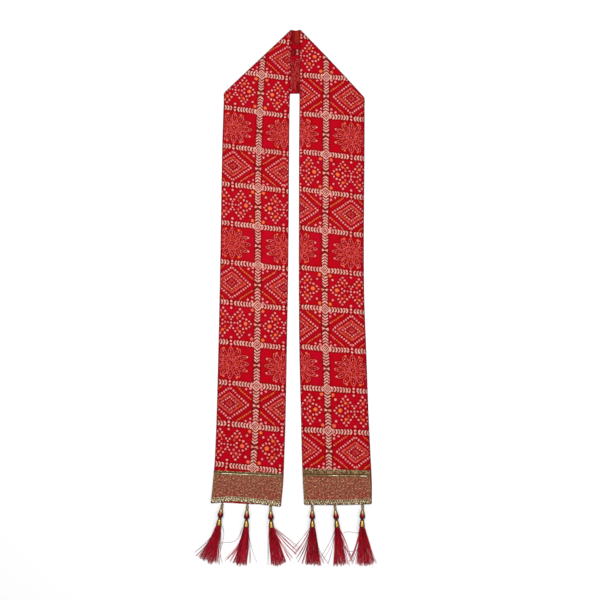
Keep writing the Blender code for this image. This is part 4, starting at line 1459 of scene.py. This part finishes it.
def make_lower_braid(side, material):
    """The plait along the hem: three strands of four threads, a fine cord above them, and bright flecks that
    are painted glints, with painted shade where the strands dip.
    """
    rng = random.Random(len(side) * 11)
    pile = Pile()
    ground = BAND_WALL + SEAM_GAP + BORDER_WALL * 0.75
    reach = LOWER_BRAID_WIDTH * 0.34
    for strand in range(3):
        for thread in range(4):
            aside = (thread - 1.5) * 0.72 * MM
            path, tints = [], []
            loose, glint = rng.uniform(0, math.tau), 0.0
            for i, share, low, _ in across_lace(side, 0.002, PLAIT_STEPS):
                angle = math.tau * (PLAIT_TURNS * share + strand / 3)
                y = low + LOWER_BRAID_WIDTH / 2 + reach * math.sin(angle) + aside
                y += 0.1 * MM * math.sin(i * 0.8 + loose)
                over = math.sin(2 * angle + 0.6)
                path.append(lace_point(side, share, y, ground + (0.55 + 0.5 * over) * MM))
                # Painted shade and glints: a thread is darker where its strand dips under the others, lighter
                # where it rides over, and brighter at random glints.
                glint = rng.choice((0.0, 0.0, 0.0, 0.3, 0.55)) if i % 2 == 0 else glint
                tints.append(PLAIT_LIGHT[side] + 0.26 * over + glint)
            pile.thread(path, 0.46 * MM, 0.5 * MM, 5, tints)
    above, coil = LOWER_BRAID_WIDTH * 0.95, (0.25 * MM, 0.25 * MM)
    for path in ply_paths(side, 0, above, ground + 0.5 * MM, coil, 0.8):
        pile.thread(path, 0.36 * MM, sides=5, tint=[rng.uniform(0.45, 0.85) for _ in path])
    # Painted glints: short near-white flecks.
    for k in range(SPARKS[side]):
        share = (k + 0.5 + rng.uniform(-0.2, 0.2)) / SPARKS[side]
        low, _ = lace_edges(side, share)
        y = low + LOWER_BRAID_WIDTH * rng.uniform(0.12, 0.34)
        x, y, z = lace_point(side, share, y, ground + 1.25 * MM)
        half = rng.uniform(0.9, 1.7) * MM
        path = []
        for i in range(7):
            fall = 0.3 * MM * ((i - 3) / 3) ** 2
            path.append((x - half + 2 * half * i / 6, y + 0.25 * MM * math.sin(i), z - fall))
        widths = [share * MM for share in (0.25, 0.65, 0.85, 0.9, 0.85, 0.65, 0.25)]
        pile.thread(path, widths, 0.22 * MM, 6, 1.2)
    return pile.piece(f"braid_lower_{side}", material, "gold_braid", f"lower_braid_{side}")


# The tassels


def turned_shape(profile, segments, axis_end):
    """Points, faces and map corners of a shape turned about its axis, from (radius, along) pairs.

    The axis runs down -Y at the beads' height, and the profile's ends lie on it.
    """
    points = []
    for radius, along in profile:
        for j in range(segments):
            angle = -math.tau * j / segments
            high = BEAD_RADIUS + radius * math.sin(angle)
            points.append((radius * math.cos(angle), axis_end - along, high))
    faces, corners = tube_faces(len(profile), segments)
    return points, faces, corners


def curve_through(stops, per_stop):
    """A smooth chain of pairs through a few stops."""
    result = []
    for i in range(len(stops) - 1):
        before, a = stops[max(i - 1, 0)], stops[i]
        b, after = stops[i + 1], stops[min(i + 2, len(stops) - 1)]
        for k in range(per_stop):
            t = k / per_stop
            pair = []
            for p0, p1, p2, p3 in zip(before, a, b, after):
                bend = (2 * p0 - 5 * p1 + 4 * p2 - p3) * t * t + (3 * (p1 - p2) + p3 - p0) * t**3
                pair.append(p1 + 0.5 * ((p2 - p0) * t + bend))
            result.append(tuple(pair))
    result.append(stops[-1])
    return result


def profile_through(stops):
    """A smooth profile of (radius, along) pairs through stops in millimetres, kept off the axis."""
    pairs = curve_through([(radius * MM, along * MM) for radius, along in stops], 3)
    return [(max(radius, 0.02 * MM), along) for radius, along in pairs]


def tip_to_bead():
    crown = BEAD_HALF_LENGTH * math.sqrt(1 - (TIP_RIM_RADIUS / BEAD_RADIUS) ** 2)
    return TIP_LENGTH + crown + SEAM_GAP


BEAD_AT = LOOP_LENGTH + tip_to_bead()
BELL_AT = BEAD_AT + BEAD_HALF_LENGTH + SEAM_GAP
SILK_AT = BELL_AT + BELL_LENGTH


def tip_shape():
    """The small cone above the bead, with a rolled mouth and a beaded rim."""
    stops = [(0.0, 0.5), (1.7, 0.3), (2.5, 0.0), (2.95, 0.25), (2.85, 0.8), (2.75, 1.3), (3.0, 2.2)]
    stops += [(3.35, 3.5), (3.75, 4.8), (4.1, 5.8), (4.4, 6.4), (4.5, 6.8), (4.35, 7.15)]
    stops += [(3.9, 7.15), (2.2, 6.2), (0.0, 6.0)]
    return turned_shape(profile_through(stops), 40, -LOOP_LENGTH)


def bell_shape():
    """The bell below the bead: a ringed top, round shoulders and an open mouth with a rolled lip."""
    stops = [(0.0, 0.0), (1.9, 0.0), (2.8, 0.15), (3.2, 0.6), (3.1, 1.1), (2.85, 1.5), (3.1, 1.95)]
    stops += [(3.45, 2.8), (3.85, 4.2), (4.3, 6.4), (4.65, 8.8), (4.95, 10.5), (4.9, 11.1), (5.2, 11.6)]
    stops += [(5.28, 12.15), (5.1, 12.55), (4.6, 12.5), (4.3, 11.0), (3.9, 8.5), (0.0, 7.4)]
    return turned_shape(profile_through(stops), 44, -BELL_AT)


def bead_shape():
    """The bead: a round with its ends cut off, and a small hole into each."""
    hole, far = 0.5 * MM, 2 * BEAD_HALF_LENGTH
    stops = [(0.02 * MM, 1.2 * MM), (hole, 1.0 * MM), (hole, 0.0)]
    for i in range(25):
        angle = math.pi * i / 24
        radius = BEAD_RADIUS * math.sin(angle)
        if radius > 0.8 * MM:
            stops.append((radius, BEAD_HALF_LENGTH - BEAD_REACH * math.cos(angle)))
    stops += [(hole, far - 0.12 * MM), (hole, far - 1.0 * MM), (0.02 * MM, far - 1.2 * MM)]
    return turned_shape(stops, 44, -(BEAD_AT - BEAD_HALF_LENGTH))


def bead_painted_light(x, y, z):
    """How much of the painted highlight near the bead's top a point of it has."""
    from_cloud = math.hypot(x / 1.1, y + BEAD_AT - 2.8 * MM)
    return smooth(1.5 - from_cloud / (1.5 * MM)) * smooth((z - BEAD_RADIUS) / (2.5 * MM))


def bell_top_shade(y):
    """How much painted shade, a dull brown, a point of the bell has at its narrow top."""
    along = -y - BELL_AT
    return smooth((3.8 * MM - along) / (2.2 * MM))


def loop_pile(rng):
    """The gold cord: two plies twisted along a narrow eye, and three stitches that hold it to the hem."""
    pile = Pile()
    start = SEAM_GAP + CORD_RADIUS
    end = LOOP_LENGTH - SEAM_GAP * 0.2 - CORD_RADIUS * 0.5
    count = 120
    for ply in (0, 1):
        path = []
        for i in range(count + 1):
            angle = math.tau * i / count
            share = (1 - math.cos(angle)) / 2
            rise = mix(CORD_RADIUS + 0.4 * MM, BEAD_RADIUS, smooth(share))
            twist = angle * 9 + ply * math.pi
            out = 0.5 * MM * math.cos(twist)
            x = (LOOP_HALF_WIDTH + out) * math.sin(angle)
            y = -mix(start, end, share) + out * math.cos(angle)
            path.append((x, y, rise + 0.5 * MM * math.sin(twist)))
        pile.thread(path, 0.7 * MM, sides=7, tint=0.3 + 0.3 * ply)
    for k in range(3):
        x = (k - 1) * 0.55 * MM
        path = [
            (x * 0.7, 1.6 * MM, 3.4 * MM),
            (x, 0.5 * MM, 3.1 * MM),
            (x, -0.6 * MM, 2.4 * MM),
            (x * 1.1, -1.7 * MM, 1.75 * MM),
            (x, -2.1 * MM, 0.9 * MM),
            (x * 0.7, -1.2 * MM, 0.25 * MM),
        ]
        pile.thread(path, 0.16 * MM, sides=5, tint=rng.uniform(0.2, 0.4))
    return pile


def silk_pile(tassel, rng):
    """The silk: locks side by side, each a bundle of threads that parts from the next near its end."""
    pile = Pile()
    for lock in range(SILK_LOCKS):
        lead = (lock + 0.5 + rng.uniform(-0.25, 0.25)) / SILK_LOCKS
        lock_length = STRAND_LENGTH * rng.uniform(0.93, 1.0)
        pinch = rng.uniform(0.25, 0.72)
        bend = rng.uniform(-1.2, 1.2) * MM
        shade = rng.uniform(-0.22, 0.22)
        for _ in range(LOCK_THREADS):
            aside, layer = rng.uniform(-1.0, 1.0), rng.random()
            length = lock_length * mix(0.9, 1.0, rng.random() ** 0.4)
            path = silk_path(tassel, lead, aside * 1.3 / SILK_LOCKS, pinch, layer, length, bend, rng)
            half = along_path(path, (0, 0.2, 0.8, 1), (0.2, 0.24, 0.2, 0.1)) * MM
            # Painted shade: each thread is darker at its root inside the bell's mouth and where it lies under
            # the others. It also grows paler towards its tip.
            tints = along_path(path, (0, 0.1, 0.4, 0.7, 1), (0.4, 0.8, 0.95, 1.1, 1.7))
            tints = tints * (0.55 + shade + rng.uniform(-0.3, 0.3)) * mix(0.7, 1.0, layer)
            pile.thread(path, half, sides=3, tint=tints)
    return pile


def silk_path(tassel, lead, aside, pinch, layer, length, bend, rng):
    """The middle line of one silk thread, from inside the bell to where it lies on the surface."""
    root = BELL_MOUTH_RADIUS - BELL_WALL - 0.3 * MM
    root_x = min(max(2 * (lead + aside) - 1, -1.0), 1.0) * root
    root_z = BEAD_RADIUS + (2 * layer - 1) * math.sqrt(max(root**2 - root_x**2, 0.0))
    phase, wave = rng.uniform(0, math.tau), rng.uniform(0.1, 0.8) * MM
    path = [(root_x * 0.85, 4.0 * MM, BEAD_RADIUS + (root_z - BEAD_RADIUS) * 0.8)]
    for i in range(SILK_STATIONS):
        share = i / (SILK_STATIONS - 1)
        spread = aside * mix(1.0, pinch, smooth((share - 0.45) / 0.5))
        reach = mix(tassel.fan_left, tassel.fan_right, lead + spread) * MM
        reach = min(max(reach / STRAND_LENGTH, -0.97), 0.97)
        lean = math.asin(reach) * mix(STRAND_LEAN, 1.0, share)
        fill = 1.0 + 0.28 * smooth(share / 0.08)
        across = root_x * fill * (1 - share) + length * share * math.sin(lean)
        across += bend * math.sin(math.pi * share) + wave * math.sin(phase + 5.5 * share) * share
        laid = 0.25 * MM + layer * mix(4.2, 2.4, share) * MM
        height = mix(root_z, laid, smooth(share / 0.42))
        height += 0.15 * MM * math.sin(phase * 2 + 9 * share) * share
        path.append((across, -length * share * math.cos(lean), max(height, 0.22 * MM)))
    return path


def stray_pile(side, number, rng):
    """Wisps and single hairs that have left the tassel, each along its own curve over the surface."""
    pile = Pile()
    for wisp in WISPS[side][number - 1]:
        for hair in range(wisp.hairs):
            drift = rng.uniform(-1.0, 1.0) * MM if hair else 0.0
            end_x, end_y = wisp.reach * MM + 2.2 * drift, -wisp.down * MM * rng.uniform(0.93, 1.0)
            start_x = math.copysign(rng.uniform(2.4, 3.6), wisp.reach) * MM
            phase = rng.uniform(0, math.tau)
            path = []
            for i in range(HAIR_STEPS + 1):
                share = i / HAIR_STEPS
                bow = (wisp.bow * MM + drift) * math.sin(math.pi * share)
                x = mix(start_x, end_x, share ** wisp.turn) + bow
                x += 0.5 * MM * math.sin(phase + 8 * share) * share
                y = mix(1.5 * MM, end_y, share) + 0.4 * MM * math.sin(phase + 6 * share) * share
                z = mix(BEAD_RADIUS, 0.35 * MM, smooth(share / 0.5))
                path.append((x, y, z))
            widths = along_path(path, (0, 0.7, 1), (0.26, 0.3, 0.18)) * MM
            pile.thread(path, widths, sides=4, tint=rng.uniform(1.2, 2.1) - 0.3 * (wisp.hairs > 3))
    for stops in HAIRS.get((side, number), ()):
        chain = curve_through(stops, 8)
        path = []
        for i, (across, down) in enumerate(chain):
            z = mix(BEAD_RADIUS, 0.35 * MM, smooth(i / len(chain) / 0.4))
            path.append((across * MM, -down * MM, z))
        widths = along_path(path, (0, 0.9, 1), (0.34, 0.34, 0.2)) * MM
        pile.thread(path, widths, sides=4, tint=1.9)
    return pile


def make_tassel(side, number, tassel, finishes):
    hem = hem_y(side, tassel.across, "cloth")
    start = np.array((band_x(side, tassel.across, hem), hem, 0.0))
    swing = math.radians(tassel.swing)
    rng = random.Random(100 * number + len(side))

    def placed(points):
        points = np.asarray(points, float)
        x = points[:, 0] * math.cos(swing) - points[:, 1] * math.sin(swing)
        y = points[:, 0] * math.sin(swing) + points[:, 1] * math.cos(swing)
        return np.stack((x, y, points[:, 2]), axis=1) + start

    mouth = placed([(0.0, -SILK_AT, 0.0)])[0]
    ending = f"{side}_{number}"
    shapes = {"tip": tip_shape(), "bead": bead_shape(), "bell": bell_shape()}
    slots = {"tip": "gold_metal", "bead": "red_bead", "bell": "gold_metal"}
    for part, (points, faces, corners) in shapes.items():
        name = f"{part}_{ending}"
        plain = [0.0] * len(points)
        marks = {"beige": [float(part == "tip")] * len(points), "heart": plain, "collar": plain}
        if part == "bead":
            # Painted highlight near the bead's top.
            marks["heart"] = [bead_painted_light(*point) for point in points]
        if part == "bell":
            # Painted shade on the bell's narrow top.
            marks["collar"] = [bell_top_shade(y) for _, y, _ in points]
        mesh = mesh_from(name, placed(points), faces, finishes[slots[part]], {"OFBake": corners}, marks)
        new_piece(name, mesh, slots[part], f"tassel_{part}_{ending}")
    loop = loop_pile(rng)
    loop.points = [placed(points) for points in loop.points]
    loop.piece(f"loop_{ending}", finishes["gold_cord"], "gold_cord", f"tassel_loop_{ending}")
    for kind, pile in (("silk", silk_pile(tassel, rng)), ("strays", stray_pile(side, number, rng))):
        pile.points = [points + mouth for points in pile.points]
        nodes = (f"tassel_strands_{ending}",) if kind == "silk" else ()
        pile.piece(f"{kind}_{ending}", finishes["crimson_silk"], "crimson_silk", *nodes)


# Stage


def make_camera():
    data = bpy.data.cameras.new("camera")
    data.lens = VIEW_LENS
    data.sensor_width = VIEW_SENSOR
    camera = new_object("camera", data)
    x, y, z = VIEW_TARGET
    back, up = VIEW_DISTANCE * math.sin(VIEW_TILT), VIEW_DISTANCE * math.cos(VIEW_TILT)
    camera.location = (x, y - back, z + up)
    camera.rotation_euler = (VIEW_TILT, 0, 0)
    bpy.context.scene.camera = camera


def make_light(name, place, aim, size, power):
    data = bpy.data.lights.new(name, "AREA")
    data.shape = "DISK"
    data.size = size
    data.energy = power
    light = new_object(name, data)
    light.location = place
    direction = np.array(aim) - np.array(place)
    flat = math.hypot(direction[0], direction[1])
    turn = math.atan2(direction[1], direction[0]) - math.pi / 2
    light.rotation_euler = (math.atan2(flat, -direction[2]), 0, turn)


def make_floor():
    paint = Paint("floor")
    grain = paint.noise(paint.object_place(), 3.0, 2.0)
    paint.link("Base Color", paint.blend(grain, srgb(250, 250, 250), srgb(254, 254, 254)))
    paint.set(Roughness=0.9, Specular_IOR_Level=0.1)
    points = [(x, y, -0.02 * MM) for x, y in ((-20, -20), (20, -20), (20, 20), (-20, 20))]
    floor = new_object("floor", mesh_from("floor", points, [(0, 1, 2, 3)], paint.material))
    floor.visible_glossy = False


def make_studio():
    """Soft light from above and from the neck's end, on a pale surface, with darker walls round it."""
    world = bpy.data.worlds.new("studio")
    world.use_nodes = True
    tree = world.node_tree
    direction = new_node(tree, "ShaderNodeTexCoord").outputs["Generated"]
    split = new_node(tree, "ShaderNodeSeparateXYZ", Vector=direction)
    height = Field(tree, split.outputs["Z"])
    strength = height.ramp(0.55, 1.0) * SKY_GAIN + SKY_BASE
    background = tree.nodes["Background"]
    background.inputs["Color"].default_value = (1.0, 1.0, 1.0, 1.0)
    tree.links.new(strength.socket, background.inputs["Strength"])
    bpy.context.scene.world = world
    bpy.context.scene.view_settings.view_transform = "Standard"
    make_light("key", (-0.2, 0.5, 2.0), (0.0, -0.1, 0.0), 0.6, 20.0)
    make_light("fill", (1.4, -0.6, 1.5), (0.0, 0.0, 0.0), 1.4, 6.0)


make_camera()
make_studio()
make_floor()

CLOTH = make_cloth()
legs = {side: make_leg(side, CLOTH) for side in ("left", "right")}

neck = make_neck(CLOTH)

FINISHES = {
    "gold_lace": make_lace(),
    "gold_braid": make_thread("gold_braid", BRAID_STOPS, 0.4, 0.4, 420.0, 0.9),
    "gold_cord": make_thread("gold_cord", CORD_STOPS, 0.35, 0.42, 700.0, 0.8),
    "gold_metal": make_metal(),
    "red_bead": make_bead(),
    "crimson_silk": make_thread("crimson_silk", SILK_STOPS, 0.0, 0.42, 160.0, 0.6),
}
for side in ("left", "right"):
    border = make_border(side, FINISHES["gold_lace"])
    make_upper_braid(side, FINISHES["gold_braid"])
    make_lower_braid(side, FINISHES["gold_braid"])
    for number, tassel in enumerate(TASSELS[side], start=1):
        make_tassel(side, number, tassel, FINISHES)
